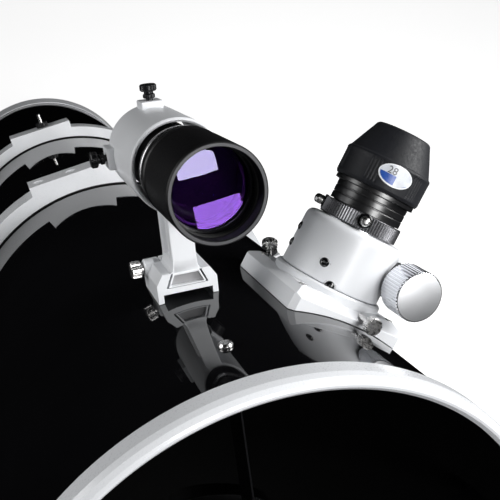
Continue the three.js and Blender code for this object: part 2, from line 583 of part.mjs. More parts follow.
add('focuser_lock_screw_rear', focuser, lockRear(lockScrew()), chrome());
add('focuser_lock_screw_front', focuser, lockFront(lockScrew()), chrome());

const HOUSING_BOTTOM = 195;
const HOUSING_TOP = 239.5;
add('focuser_housing', focuser,
  cut(
    join(
      turnedZ([
        [20, HOUSING_BOTTOM], [39.5, HOUSING_BOTTOM], [38.8, HOUSING_TOP - 5], [37.4, HOUSING_TOP - 1.4],
        [34.5, HOUSING_TOP], [20, HOUSING_TOP],
      ], 32),
      box(10, 44, -22, 22, SHAFT_H - 11, SHAFT_H + 11)),
    rodZ(DRAWTUBE_RADIUS + GAP, 180, 250, 22),
    rodY(SHAFT_RADIUS + 0.2, -60, 60, 16).translate(SHAFT_A, 0, SHAFT_H)), whitePaint());
const KNOB_RADIUS = 18.8;
const coarseKnob = (from, to) => fluted(KNOB_RADIUS, from, to, 20, 0.9);
add('focus_shaft', focuser,
  join(
    rodY(SHAFT_RADIUS, -62, 62, 16),
    rodY(8, -39, -31, 16), coarseKnob(-65, -38),
    rodY(8, 31, 39, 16), coarseKnob(38, 58)).translate(SHAFT_A, 0, SHAFT_H), silver());
add('fine_focus_knob', focuser,
  cut(fluted(10, 60, 76, 20, 0.7), rodY(SHAFT_RADIUS + 0.2, 50, 62.5, 16)).translate(SHAFT_A, 0, SHAFT_H),
  blackMetal());

const COLLAR_BOTTOM = 240.2;
const COLLAR_TOP = 252.2;
const COLLAR_RADIUS = 30.6;
const COLLAR_H = 247.2;
const DRAWTUBE_TOP = COLLAR_TOP - 5;
add('drawtube', focuser,
  turnedZ([
    [DRAWTUBE_BORE, 150], [DRAWTUBE_RADIUS, 150], [DRAWTUBE_RADIUS, DRAWTUBE_TOP],
    [DRAWTUBE_BORE, DRAWTUBE_TOP],
  ], 22), silver());
const COLLAR_SCREWS = [-115.6, 154.4];
const screwHole = (deg) => rodX(2.7, 24, 40, 10).applyMatrix4(turnZ(deg)).translate(0, 0, COLLAR_H);
add('compression_collar', focuser,
  cut(
    turnedZ([
      [DRAWTUBE_BORE, COLLAR_TOP], [DRAWTUBE_BORE, DRAWTUBE_TOP + GAP],
      [DRAWTUBE_RADIUS + GAP, DRAWTUBE_TOP + GAP], [DRAWTUBE_RADIUS + GAP, COLLAR_BOTTOM],
      [COLLAR_RADIUS, COLLAR_BOTTOM], [COLLAR_RADIUS, COLLAR_TOP],
    ], 22),
    ...COLLAR_SCREWS.map(screwHole)), blackMetal());
COLLAR_SCREWS.forEach((deg, i) => {
  add(`collar_thumbscrew_${i + 1}`, focuser,
    join(rodX(2.3, 29, 34, 10), rodX(3.6, COLLAR_RADIUS + GAP, 38, 16))
      .applyMatrix4(turnZ(deg)).translate(0, 0, COLLAR_H), chrome());
});

// ---------- eyepiece ----------
const BARREL_RADIUS = 25.2;
const BARREL_END = 222;
const SHOULDER_H = 252.5;
const CUP_H = 271;
add('eyepiece_body', focuser,
  turnedZ([
    [22.5, BARREL_END], [BARREL_RADIUS, BARREL_END], [BARREL_RADIUS, SHOULDER_H], [28.2, SHOULDER_H],
    [28.2, CUP_H - 3.3], [31.2, CUP_H - 3.3], [31.2, CUP_H], [28, CUP_H], [28, 292], [19.5, 304], [16, 304],
    [16, 292], [22.5, 280],
  ], 22), blackGloss());
add('eyepiece_lens', focuser,
  turnedZ([[0, 296], [15.7, 296], [15.7, 300], [0, 302.5]], 32), lensCoat());
add('eyecup', focuser,
  turnedZ([
    [28 + GAP, CUP_H + GAP], [33, CUP_H + GAP], [33.2, 293.8], [21, 317.6], [17.2, 317.6], [17.2, 305],
    [19.9, 304.6], [28 + GAP, 292.2],
  ], 22), rubber());

// the origin is the middle of the whole outline, on the floor
model.updateMatrixWorld(true);
const outlineBox = new THREE.Box3().setFromObject(model, true);
const middle = outlineBox.getCenter(new THREE.Vector3());
stand.position.set(-middle.x, -middle.y, -outlineBox.min.z);

export default model;
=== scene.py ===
# A Dobsonian telescope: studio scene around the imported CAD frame.
# Metres, +Z up, the mouth of the tube towards -Y.
import json
import math

import bmesh
import bpy
from mathutils import Matrix, Vector


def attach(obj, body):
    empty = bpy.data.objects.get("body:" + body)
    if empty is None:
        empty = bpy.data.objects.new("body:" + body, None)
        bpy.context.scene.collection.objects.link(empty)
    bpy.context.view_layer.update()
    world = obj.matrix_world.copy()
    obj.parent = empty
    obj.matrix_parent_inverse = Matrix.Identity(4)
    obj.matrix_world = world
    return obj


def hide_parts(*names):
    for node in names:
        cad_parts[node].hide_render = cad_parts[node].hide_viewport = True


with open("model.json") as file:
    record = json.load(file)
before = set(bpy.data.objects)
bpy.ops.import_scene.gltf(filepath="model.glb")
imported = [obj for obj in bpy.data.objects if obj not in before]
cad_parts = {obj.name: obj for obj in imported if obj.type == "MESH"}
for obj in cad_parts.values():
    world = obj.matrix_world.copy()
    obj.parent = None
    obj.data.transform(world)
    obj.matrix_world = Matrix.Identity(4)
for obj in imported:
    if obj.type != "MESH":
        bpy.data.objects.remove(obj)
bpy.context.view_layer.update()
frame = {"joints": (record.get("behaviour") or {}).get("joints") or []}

# ---------- dimensions, in millimetres ----------
MM = 0.001
ALTITUDE_DEG = 36.6
ROLL_DEG = 10.4
ALTITUDE_S = 822
GAP = 0.3
SHARP_DEG = 38

FOOT_HEIGHT = 22
FOOT_CIRCLE = 285
BOARD = 18
BASE_RADIUS = 330
GROUND_TOP = FOOT_HEIGHT + BOARD
BEARING_TOP = GROUND_TOP + GAP + 6
FLOOR_BOTTOM = BEARING_TOP + GAP
FLOOR_TOP = FLOOR_BOTTOM + BOARD
AXIS_HEIGHT = 750
SIDE_INNER = 226
SIDE_OUTER = SIDE_INNER + BOARD
SIDE_FRONT = -233
SIDE_REAR = 205
FRONT_TOP = AXIS_HEIGHT - 330
HANDLE_Z = FRONT_TOP - 80
NOTCH = 43

TUBE_RADIUS = 178.5
TUBE_WALL = 1.2
TUBE_FRONT = 6
TUBE_REAR = 1403
RING_INNER = 180
RING_OUTER = 195
RING_WIDTH = 34
RING_FRONTS = (529.6, 887.6)
RING_FLAT = 200
PAD_HALF = 46.6
PAD_HOLES = (-35, 3)
PLATE_INNER = 200.3
PLATE_OUTER = PLATE_INNER + 11
HINGE_X = -206
CLAMP_X = 207
LUG_Z = 12

MIRROR_RADIUS = 152.4
FOCAL_LENGTH = 1500
MIRROR_FRONT = 1322
MIRROR_REAR = 1357
CELL_FRONT = MIRROR_REAR + GAP
KNOB_CIRCLE = 118
SPIDER_S = 68
HUB_FRONT = SPIDER_S - 14
HUB_REAR = SPIDER_S + 14
SPIDER_ANGLES = (-2, 88, 178, 268)
SECONDARY_RADIUS = 35

FINDER_X = -0.6
FINDER_Z = 270
SHOE_X = -4.6
SHOE_FRONT = 154
SHOE_REAR = 196
SHOE_SCREW_Z = 193.5
BRACKET_FRONT = 154.7
BRACKET_REAR = 235
BRACKET_RADIUS = 32.6
BRACKET_BORE = 29.6
ADJUSTER_S = 222

FOCUSER_S = 165
FOCUSER_DEG = 33.3
BASE_HALF_A = 49.5
BASE_HALF_B = 52
LOCK_FRONT = (8, -52, 185.6)
LOCK_REAR = (-30, 49, 187.5)
LOCK_REAR_TILT = 45
KNOB_RADIUS = 18.8
HOUSING_BOTTOM = 195
HOUSING_TOP = 239.5
SHAFT_A = 35
SHAFT_H = 216.5
COLLAR_H = 247.2
DRAW_BORE = 25.7
COLLAR_SCREWS = (-115.6, 154.4)
COLLAR_SIDES = 720
COLLAR_RIBS = 90
GRIP_RADIUS = 33.1
GRIP_LOW = 271.3
LABEL_DEG = -107
LABEL_HEIGHT = 284.9

# ---------- studio: metres and watts ----------
FLOOR_GLOW = 0.75
FLOOR_RADIUS = 3
FLOOR_MIDDLE = (0.4, 0.3, 0)
WORLD_GLOW = 0.85
FRONT_POWER = 11
FRONT_ROLL = -10
RIGHT_POWER = 29
LEFT_POWER = 10

# ---------- frames ----------
def shift(x, y, z):
    return Matrix.Translation((x * MM, y * MM, z * MM))


def at(x, y, z):
    return Matrix.Translation((x, y, z))


def turn(deg, axis):
    return Matrix.Rotation(math.radians(deg), 4, axis)


AXIS = next(Vector(j["pos_m"]) for j in frame["joints"] if j["name"] == "altitude")
BASE = Matrix.Translation((AXIS.x, AXIS.y, 0))
CRADLE = Matrix.Translation(AXIS) @ turn(-ALTITUDE_DEG, "X") @ shift(0, -ALTITUDE_S, 0)
TUBE = Matrix.Translation(AXIS) @ turn(-ALTITUDE_DEG, "X") @ turn(ROLL_DEG, "Y") @ shift(0, -ALTITUDE_S, 0)
FOCUSER = TUBE @ shift(0, FOCUSER_S, 0) @ turn(FOCUSER_DEG, "Y")
UP = turn(90, "X")        # a shape turned about Y stands along +Z
RIGHT = turn(-90, "Z")    # a shape turned about Y points along +X
FORWARD = turn(180, "Z")  # a shape turned about Y points along -Y


def linked(name, data):
    """A new object in the scene."""
    obj = bpy.data.objects.new(name, data)
    bpy.context.scene.collection.objects.link(obj)
    return obj


# ---------- camera ----------
def make_camera():
    # where the lens stands and looks, in the frame of the tube
    position = (-116.16, -326.08, 378.77)
    right = Vector((0.93623, -0.34090, -0.08516))
    up = Vector((0.18797, 0.28114, 0.94108))
    back = right.cross(up)
    turned = Matrix((right, up, back)).transposed().to_4x4()
    data = bpy.data.cameras.new("camera")
    data.lens = 54.85
    data.sensor_width = 36
    data.clip_start = 0.01
    camera = linked("camera", data)
    camera.matrix_world = TUBE @ shift(*position) @ turned
    bpy.context.scene.camera = camera
    return camera


# ---------- mesh building, in millimetres ----------
def fillet(points, radius, closed, steps=3):
    """Rounds the corners of a flat line of points."""
    count = len(points)
    out = []
    for i, point in enumerate(points):
        corner = Vector(point)
        if radius <= 0 or (not closed and i in (0, count - 1)):
            out.append(tuple(corner))
            continue
        back = Vector(points[i - 1]) - corner
        ahead = Vector(points[(i + 1) % count]) - corner
        angle = back.angle(ahead, math.pi)
        if angle > math.radians(165):
            out.append(tuple(corner))
            continue
        reach = min(radius / math.tan(angle / 2), back.length * 0.45, ahead.length * 0.45)
        start = corner + back.normalized() * reach
        end = corner + ahead.normalized() * reach
        for k in range(steps + 1):
            t = k / steps
            out.append(tuple(start.lerp(corner, t).lerp(corner.lerp(end, t), t)))
    return out


def lathe(profile, radius=0.4, segments=96, ripple=None, steps=3):
    """A shape turned about Y from (radius, y) pairs; ripple changes the radius with the angle."""
    on_axis = profile[0][0] == 0 and profile[-1][0] == 0
    points = fillet(profile, radius, not on_axis, steps)
    bm = bmesh.new()
    rings = []
    for r, y in points:
        if r < 1e-5:
            rings.append([bm.verts.new((0, y, 0))] * segments)
            continue
        ring = []
        for k in range(segments):
            a = 2 * math.pi * k / segments
            reach = ripple(r, y, a) if ripple else r
            ring.append(bm.verts.new((reach * math.sin(a), y, reach * math.cos(a))))
        rings.append(ring)
    pairs = list(zip(rings, rings[1:]))
    if not on_axis:
        pairs.append((rings[-1], rings[0]))
    for low, high in pairs:
        for k in range(segments):
            n = (k + 1) % segments
            corners = list(dict.fromkeys((low[k], low[n], high[n], high[k])))
            if len(corners) > 2:
                bm.faces.new(corners)
    bmesh.ops.recalc_face_normals(bm, faces=bm.faces)
    return bm


def rod(radius, start, end, edge=0.3, segments=48):
    """A round bar along Y."""
    return lathe([(0, start), (radius, start), (radius, end), (0, end)], edge, segments)


def hoop(inner, outer, start, end, edge, segments):
    """A ring of rectangular section about Y."""
    return lathe([(inner, start), (outer, start), (outer, end), (inner, end)], edge, segments)


def ribbed(radius, start, end, ribs, depth, edge=0.6, share=0.5, dome=0, per=6):
    """A grip with ribs along Y; the ends are chamfered and may be domed."""
    def ripple(r, y, a):
        phase = (a * ribs / (2 * math.pi)) % 1
        inside = start + edge * 0.5 < y < end - edge * 0.5 and r > radius - edge * 1.5
        groove = phase < share
        soft = math.sin(math.pi * phase / share) ** 0.5 if groove else 0
        return r - depth * soft if inside else min(r, radius - depth * 0.6)
    profile = [(0, start), (radius - edge, start), (radius, start + edge),
               (radius, end - edge), (radius - edge, end), (0, end + dome)]
    return lathe(profile, 0.15, ribs * per, ripple, 2)


def slab(outline, start, end, corner=0.0, steps=3):
    """A flat XZ outline pushed along Y."""
    points = fillet(outline, corner, True, steps)
    bm = bmesh.new()
    near = [bm.verts.new((u, start, v)) for u, v in points]
    far = [bm.verts.new((u, end, v)) for u, v in points]
    bm.faces.new(near)
    bm.faces.new(far[::-1])
    for i in range(len(points)):
        j = (i + 1) % len(points)
        bm.faces.new((near[i], near[j], far[j], far[i]))
    bmesh.ops.recalc_face_normals(bm, faces=bm.faces)
    return bm


def box(x0, x1, y0, y1, z0, z1):
    return slab([(x0, z0), (x1, z0), (x1, z1), (x0, z1)], y0, y1)


def slab_x(outline, start, end, corner=0.0):
    """A flat YZ outline pushed along X."""
    return moved(slab([(-u, v) for u, v in outline], start, end, corner), turn(-90, "Z"))


def slab_z(outline, start, end, corner=0.0):
    """A flat XY outline pushed along Z."""
    return moved(slab([(u, -v) for u, v in outline], start, end, corner), turn(90, "X"))


def moved(bm, matrix):
    bm.transform(matrix)
    return bm


def arc(radius, start, end, steps, centre=(0, 0)):
    out = []
    for i in range(steps + 1):
        a = math.radians(start + (end - start) * i / steps)
        out.append((centre[0] + radius * math.cos(a), centre[1] + radius * math.sin(a)))
    return out


def loose(bm, name="tool"):
    mesh = bpy.data.meshes.new(name)
    bm.to_mesh(mesh)
    bm.free()
    return linked(name, mesh)


def painted(material, *solids):
    """Pairs of a solid and its material, as piece() takes them."""
    return [(solid, material) for solid in solids]


def around(parts, matrix):
    """The same pairs with their solids moved."""
    return [(moved(solid, matrix), material) for solid, material in parts]


def mirrored(points):
    """An outline from its right half, the left half added in reverse."""
    return points + [(-x, y) for x, y in reversed(points)]


def worked(bm, cuts=(), joins=(), keeps=(), bevel=0.0, segments=2, angle=32, voxel=0.0, smooth=0):
    """Joins and cuts solids, then rounds the sharp edges."""
    body = loose(bm, "body")
    tools = []
    for solids, operation in ((joins, "UNION"), (keeps, "INTERSECT"), (cuts, "DIFFERENCE")):
        for solid in solids:
            tool = loose(solid)
            tools.append(tool)
            step = body.modifiers.new("step", "BOOLEAN")
            step.operation = operation
            step.object = tool
            step.solver = "EXACT"
    if voxel:
        remesh = body.modifiers.new("remesh", "REMESH")
        remesh.mode = "VOXEL"
        remesh.voxel_size = voxel
        soften = body.modifiers.new("soften", "SMOOTH")
        soften.factor = 0.5
        soften.iterations = smooth
    if bevel:
        round_off = body.modifiers.new("bevel", "BEVEL")
        round_off.width = bevel
        round_off.segments = segments
        round_off.limit_method = "ANGLE"
        round_off.angle_limit = math.radians(angle)
        round_off.use_clamp_overlap = True
    depsgraph = bpy.context.evaluated_depsgraph_get()
    mesh = bpy.data.meshes.new_from_object(body.evaluated_get(depsgraph))
    out = bmesh.new()
    out.from_mesh(mesh)
    for obj in (body, *tools):
        data = obj.data
        bpy.data.objects.remove(obj)
        bpy.data.meshes.remove(data)
    bpy.data.meshes.remove(mesh)
    return out


def brick(*sides, **work):
    """A box from its sides in x, y and z, worked on as worked() does."""
    return worked(box(*sides), **work)


def piece(name, body, place, parts, node, weighted=True):
    """One object from several solids, each with its material, riding on a body."""
    whole = bmesh.new()
    materials = []
    for bm, material in parts:
        if material not in materials:
            materials.append(material)
        part = bpy.data.meshes.new("part")
        bm.to_mesh(part)
        bm.free()
        before = len(whole.faces)
        whole.from_mesh(part)
        whole.faces.ensure_lookup_table()
        for face in whole.faces[before:]:
            face.material_index = materials.index(material)
            face.smooth = True
        bpy.data.meshes.remove(part)
    whole.transform(Matrix.Scale(MM, 4))
    mesh = bpy.data.meshes.new(name)
    whole.to_mesh(mesh)
    whole.free()
    for material in materials:
        mesh.materials.append(material)
    mesh.set_sharp_from_angle(angle=math.radians(SHARP_DEG))
    obj = linked(name, mesh)
    obj.matrix_world = place
    if weighted:
        even = obj.modifiers.new("even", "WEIGHTED_NORMAL")
        even.keep_sharp = True
    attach(obj, body)
    if node:
        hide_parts(node)


# ---------- materials ----------
def fill(node, values):
    """Sets inputs of a shader node from a dictionary of their names."""
    for name, value in values.items():
        node.inputs[name].default_value = value
    return node


def finish(name, colour, rough, metal=0.0, mottle=0.06, mottle_scale=14, grain=0.05, grain_scale=900,
           bump=0.1, depth=0.00002, bump_scale=1800, coat=0.0, ior=1.5, sheen=0.0,
           rings=0.0, rings_axis="Y", rings_scale=2600, tint=None, transmission=0.0, coat_rough=0.03):
    """A shader whose colour is mottled, whose roughness has grain, and whose surface has a fine relief."""
    material = bpy.data.materials.new(name)
    material.use_nodes = True
    nodes, links = material.node_tree.nodes, material.node_tree.links
    shader = nodes["Principled BSDF"]
    fill(shader, {"Metallic": metal, "IOR": ior, "Coat Weight": coat, "Coat Roughness": coat_rough,
                  "Sheen Weight": sheen, "Transmission Weight": transmission})
    if tint:
        fill(shader, {"Specular Tint": (*tint, 1)})
    place = nodes.new("ShaderNodeTexCoord")

    def noise(scale, detail):
        node = fill(nodes.new("ShaderNodeTexNoise"), {"Scale": scale, "Detail": detail})
        links.new(place.outputs["Object"], node.inputs["Vector"])
        return node.outputs["Fac"]

    def ranged(source, low, high):
        node = fill(nodes.new("ShaderNodeMapRange"),
                    {"From Min": 0.3, "From Max": 0.7, "To Min": low, "To Max": high})
        links.new(source, node.inputs["Value"])
        return node.outputs["Result"]

    blend = nodes.new("ShaderNodeMix")
    blend.data_type = "RGBA"
    fill(blend, {"A": (*(max(0.0, c * (1 - mottle)) for c in colour), 1),
                 "B": (*(min(1.0, c * (1 + mottle * 0.5)) for c in colour), 1)})
    links.new(ranged(noise(mottle_scale, 4), 0, 1), blend.inputs["Factor"])
    links.new(blend.outputs["Result"], shader.inputs["Base Color"])
    links.new(ranged(noise(grain_scale, 3), max(0.0, rough - grain), min(1.0, rough + grain)),
              shader.inputs["Roughness"])
    relief = fill(nodes.new("ShaderNodeBump"), {"Strength": bump, "Distance": depth})
    links.new(noise(bump_scale, 2), relief.inputs["Height"])
    normal = relief.outputs["Normal"]
    if rings:
        wave = fill(nodes.new("ShaderNodeTexWave"), {"Scale": rings_scale, "Distortion": 1.5})
        wave.wave_type = "RINGS"
        wave.rings_direction = rings_axis
        links.new(place.outputs["Object"], wave.inputs["Vector"])
        cut = fill(nodes.new("ShaderNodeBump"), {"Strength": rings, "Distance": 0.00003})
        links.new(wave.outputs["Fac"], cut.inputs["Height"])
        links.new(normal, cut.inputs["Normal"])
        normal = cut.outputs["Normal"]
    links.new(normal, shader.inputs["Normal"])
    return material


WHITE_COAT = finish("white_coat", (0.80, 0.815, 0.84), 0.36, grain=0.06, bump=0.25, depth=0.00004,
                    bump_scale=1400, coat=0.15, coat_rough=0.12)
RING_COAT = finish("ring_coat", (0.80, 0.815, 0.84), 0.3, grain=0.05, bump=0.2, depth=0.00004,
                   bump_scale=1200, coat=0.25, coat_rough=0.1)
LAMINATE = finish("white_laminate", (0.82, 0.82, 0.80), 0.42, mottle=0.04, mottle_scale=40, grain=0.08,
                  grain_scale=500, bump=0.35, depth=0.00006, bump_scale=700)
GLOSS_BLACK = finish("gloss_black", (0.0045, 0.0045, 0.0052), 0.035, mottle=0.3, mottle_scale=5, grain=0.02,
                     grain_scale=40, bump=0.02, depth=0.0001, bump_scale=60, ior=1.65)
INNER_BLACK = finish("inner_black", (0.005, 0.005, 0.0055), 0.75, mottle=0.3, grain=0.1, bump=0.5,
                     depth=0.0001, bump_scale=500)
BLACK_METAL = finish("black_metal", (0.009, 0.009, 0.0105), 0.34, 0.35, mottle=0.2, grain=0.08,
                     bump=0.15, bump_scale=1500)
SATIN_BLACK = finish("satin_black", (0.0045, 0.0045, 0.0052), 0.46, 0.0, mottle=0.2, grain=0.06, bump=0.3,
                     depth=0.00004, bump_scale=1600, ior=1.38)
KNURL_BLACK = finish("knurled_black", (0.17, 0.17, 0.18), 0.33, 0.9, mottle=0.3, mottle_scale=60,
                     grain=0.08, bump=0.1)
BARREL_BLACK = finish("barrel_black", (0.008, 0.008, 0.009), 0.3, mottle=0.05, grain=0.02,
                      grain_scale=60, bump=0.0, ior=1.85)
BLACK_PLASTIC = finish("black_plastic", (0.016, 0.016, 0.017), 0.45, mottle=0.2, grain=0.08, bump=0.4,
                       depth=0.00006, bump_scale=1100)
RUBBER = finish("rubber", (0.0048, 0.0056, 0.0085), 0.58, mottle=0.25, mottle_scale=45, grain=0.1,
                grain_scale=600, bump=0.5, depth=0.0001, bump_scale=1300, sheen=0.03, ior=1.42)
FELT = finish("felt", (0.006, 0.006, 0.006), 0.95, mottle=0.3, bump=0.8, depth=0.0003, bump_scale=1500)
CHROME = finish("chrome", (0.80, 0.79, 0.78), 0.27, 1.0, mottle=0.15, grain=0.07, grain_scale=400,
                bump=0.15, bump_scale=900)
STEEL = finish("steel", (0.55, 0.55, 0.56), 0.3, 1.0, mottle=0.15, grain=0.08, bump=0.2)
TURNED = finish("turned_aluminium", (0.86, 0.87, 0.89), 0.47, 1.0, mottle=0.04, grain=0.03,
                bump=0.05, rings=0.06, rings_axis="Y", rings_scale=1500)
RIBBED = finish("ribbed_aluminium", (0.78, 0.79, 0.82), 0.2, 1.0, mottle=0.06, grain=0.05, bump=0.1)
DRAW_METAL = finish("drawtube_metal", (0.72, 0.73, 0.75), 0.25, 1.0, mottle=0.06, bump=0.1,
                    rings=0.08, rings_axis="Z")
CAST = finish("cast_aluminium", (0.52, 0.53, 0.54), 0.5, 0.8, mottle=0.15, mottle_scale=60, grain=0.1,
              bump=0.7, depth=0.0003, bump_scale=350)
RIM_GREY = finish("rim_grey", (0.07, 0.07, 0.076), 0.5, mottle=0.15, grain=0.08, bump=0.3)
# painted shade: a flat mid-grey for the bottom of the bracket foot's front pocket, darker than the white
# coat around it
POCKET_SHADE = finish("pocket_painted_shade", (0.32, 0.32, 0.33), 0.55, mottle=0.15, grain=0.08, bump=0.3)
NYLON = finish("nylon", (0.74, 0.73, 0.69), 0.45, mottle=0.06, grain=0.08, bump=0.3, bump_scale=600)
MIRROR = finish("mirror_coating", (0.93, 0.94, 0.95), 0.015, 1.0, mottle=0.01, grain=0.008,
                grain_scale=20, bump=0.0)
LENS = finish("coated_lens", (0.60, 0.28, 0.95), 0.01, mottle=0.03, grain=0.005, grain_scale=30, bump=0.0,
              ior=1.62, tint=(0.66, 0.60, 1.0), transmission=1.0)
EYE_LENS = finish("eye_lens", (0.03, 0.02, 0.05), 0.03, mottle=0.2, grain=0.01, grain_scale=40, bump=0.0,
                  tint=(0.6, 0.45, 1.0), coat=1.0)
LABEL_WHITE = finish("label_white", (0.92, 0.94, 0.97), 0.3, mottle=0.04, mottle_scale=300, bump=0.05)
LABEL_GREY = finish("label_grey", (0.74, 0.77, 0.82), 0.3, mottle=0.25, mottle_scale=90, bump=0.05)
LABEL_BLUE = finish("label_blue", (0.02, 0.09, 0.42), 0.3, mottle=0.15, mottle_scale=300, bump=0.05)
LABEL_INK = finish("label_ink", (0.09, 0.09, 0.10), 0.4, mottle=0.1, mottle_scale=300, bump=0.05)


# ---------- base and rocker box ----------
def make_ground():
    board = hoop(7, BASE_RADIUS, FOOT_HEIGHT + GAP, GROUND_TOP, 1.2, 192)
    piece("ground_board_boards", "base", BASE @ UP, [(board, LAMINATE)], "ground_board")
    for i in range(3):
        a = math.radians(90 + 120 * i)
        foot = lathe([(0, 0), (20, 0), (21, 1), (24, 19), (24, FOOT_HEIGHT), (0, FOOT_HEIGHT)], 1.5, 64)
        place = BASE @ shift(FOOT_CIRCLE * math.cos(a), FOOT_CIRCLE * math.sin(a), 0) @ UP
        piece(f"rubber_foot_{i + 1}", "base", place, [(foot, RUBBER)], f"foot_{i + 1}")
    bearing = hoop(120, 180, GROUND_TOP + GAP, BEARING_TOP, 1.0, 128)
    piece("nylon_bearing", "base", BASE @ UP, [(bearing, NYLON)], "azimuth_bearing")
    shank = rod(6, FOOT_HEIGHT - 7, FLOOR_TOP + 2, 0.5)
    head = rod(13, FOOT_HEIGHT - 7, FOOT_HEIGHT, 1, 6)
    grip = ribbed(26, FLOOR_TOP + GAP, FLOOR_TOP + 19, 9, 3, 3, 0.5, 1, 12)
    piece("pivot_bolt", "base", BASE @ UP, [(shank, STEEL), (head, STEEL), (grip, BLACK_PLASTIC)],
          "azimuth_bolt")


SIDE_OUTLINE = [
    (SIDE_FRONT, FLOOR_TOP + GAP), (SIDE_REAR, FLOOR_TOP + GAP), (SIDE_REAR, FLOOR_TOP + 120),
    (120, AXIS_HEIGHT - 180), (56, AXIS_HEIGHT - 34), (55, AXIS_HEIGHT + 6), (NOTCH, AXIS_HEIGHT + 6),
    *arc(NOTCH, 0, -180, 32, (0, AXIS_HEIGHT)), (-NOTCH, AXIS_HEIGHT + 6), (-55, AXIS_HEIGHT + 6),
    (-56, AXIS_HEIGHT - 34), (-130, AXIS_HEIGHT - 200), (-200, AXIS_HEIGHT - 300),
    (SIDE_FRONT, AXIS_HEIGHT - 330),
]


def make_rocker():
    floor = hoop(7, BASE_RADIUS, FLOOR_BOTTOM, FLOOR_TOP, 1.2, 192)
    piece("rocker_floor_board", "rocker", BASE @ UP, [(floor, LAMINATE)], "rocker_floor")
    for side, sign in (("left", -1), ("right", 1)):
        near = -SIDE_OUTER if sign < 0 else SIDE_INNER
        board = worked(slab_x(SIDE_OUTLINE, near, near + BOARD), bevel=1.0)
        screws = [
            moved(rod(4.5, 0, 0.8, 0.3, 24), at(sign * SIDE_OUTER, y, z) @ turn(-90 * sign, "Z"))
            for y, z in ((SIDE_FRONT + 9, 120), (SIDE_FRONT + 9, 240), (SIDE_FRONT + 9, 360),
                         (-150, FLOOR_TOP + 14), (0, FLOOR_TOP + 14), (150, FLOOR_TOP + 14))]
        piece(f"side_board_{side}", "rocker", BASE, painted(LAMINATE, board) + painted(NYLON, *screws),
              f"rocker_side_{side}")
        ring = arc(NOTCH - GAP, 0, -180, 32, (0, AXIS_HEIGHT)) + arc(36.4, -180, 0, 32, (0, AXIS_HEIGHT))
        saddle = worked(slab_x(ring, near, near + BOARD), bevel=0.4)
        piece(f"saddle_{side}", "rocker", BASE, [(saddle, NYLON)], f"bearing_saddle_{side}")
    front = brick(-SIDE_INNER + GAP, SIDE_INNER - GAP, SIDE_FRONT, SIDE_FRONT + BOARD,
                       FLOOR_TOP + GAP, FRONT_TOP, bevel=1.0)
    piece("front_board", "rocker", BASE, [(front, LAMINATE)], "rocker_front_board")
    y0, y1 = SIDE_FRONT - 42, SIDE_FRONT - GAP
    bail = [(-70, y1), (-70, y0), (70, y0), (70, y1), (56, y1), (56, y0 + 12), (-56, y0 + 12), (-56, y1)]
    handle = worked(slab_z(bail, HANDLE_Z - 9, HANDLE_Z + 9, 7), bevel=3.2, segments=4)
    feet = [brick(x - 12, x + 12, y1 - 3, y1, HANDLE_Z - 12, HANDLE_Z + 12, bevel=1.2)
            for x in (-63, 63)]
    piece("handle", "rocker", BASE, painted(BLACK_PLASTIC, handle, *feet), "carry_handle")


# ---------- cradle ----------
def half_ring(upper):
    """Outline of one half of a tube ring with its flat pad, split just off the middle."""
    sign = 1 if upper else -1
    split = math.degrees(math.asin(GAP / RING_OUTER))
    inner_split = math.degrees(math.asin(GAP / RING_INNER))
    pad = math.degrees(math.asin(PAD_HALF / RING_OUTER))
    outer = arc(RING_OUTER, split, 90 - pad, 40)
    outer += [(PAD_HALF, RING_FLAT), (-PAD_HALF, RING_FLAT)]
    outer += arc(RING_OUTER, 90 + pad, 180 - split, 40)
    outer += arc(RING_INNER, 180 - inner_split, inner_split, 96)
    return [(x, sign * z) for x, z in outer]


def felt(front, upper):
    sign = 1 if upper else -1
    line = arc(RING_INNER - 0.05, 0.4, 179.6, 90) + arc(TUBE_RADIUS + 0.35, 179.6, 0.4, 90)
    return slab([(x, sign * z) for x, z in line], front - 1.2, front + RING_WIDTH + 1.2)


def countersinks(middle):
    profile = [(0, -8), (3.4, -8), (3.4, -3.2), (6.6, 0.5), (0, 0.5)]
    return [moved(lathe(profile, 0, 32), at(x, middle, RING_FLAT) @ UP) for x in PAD_HOLES]


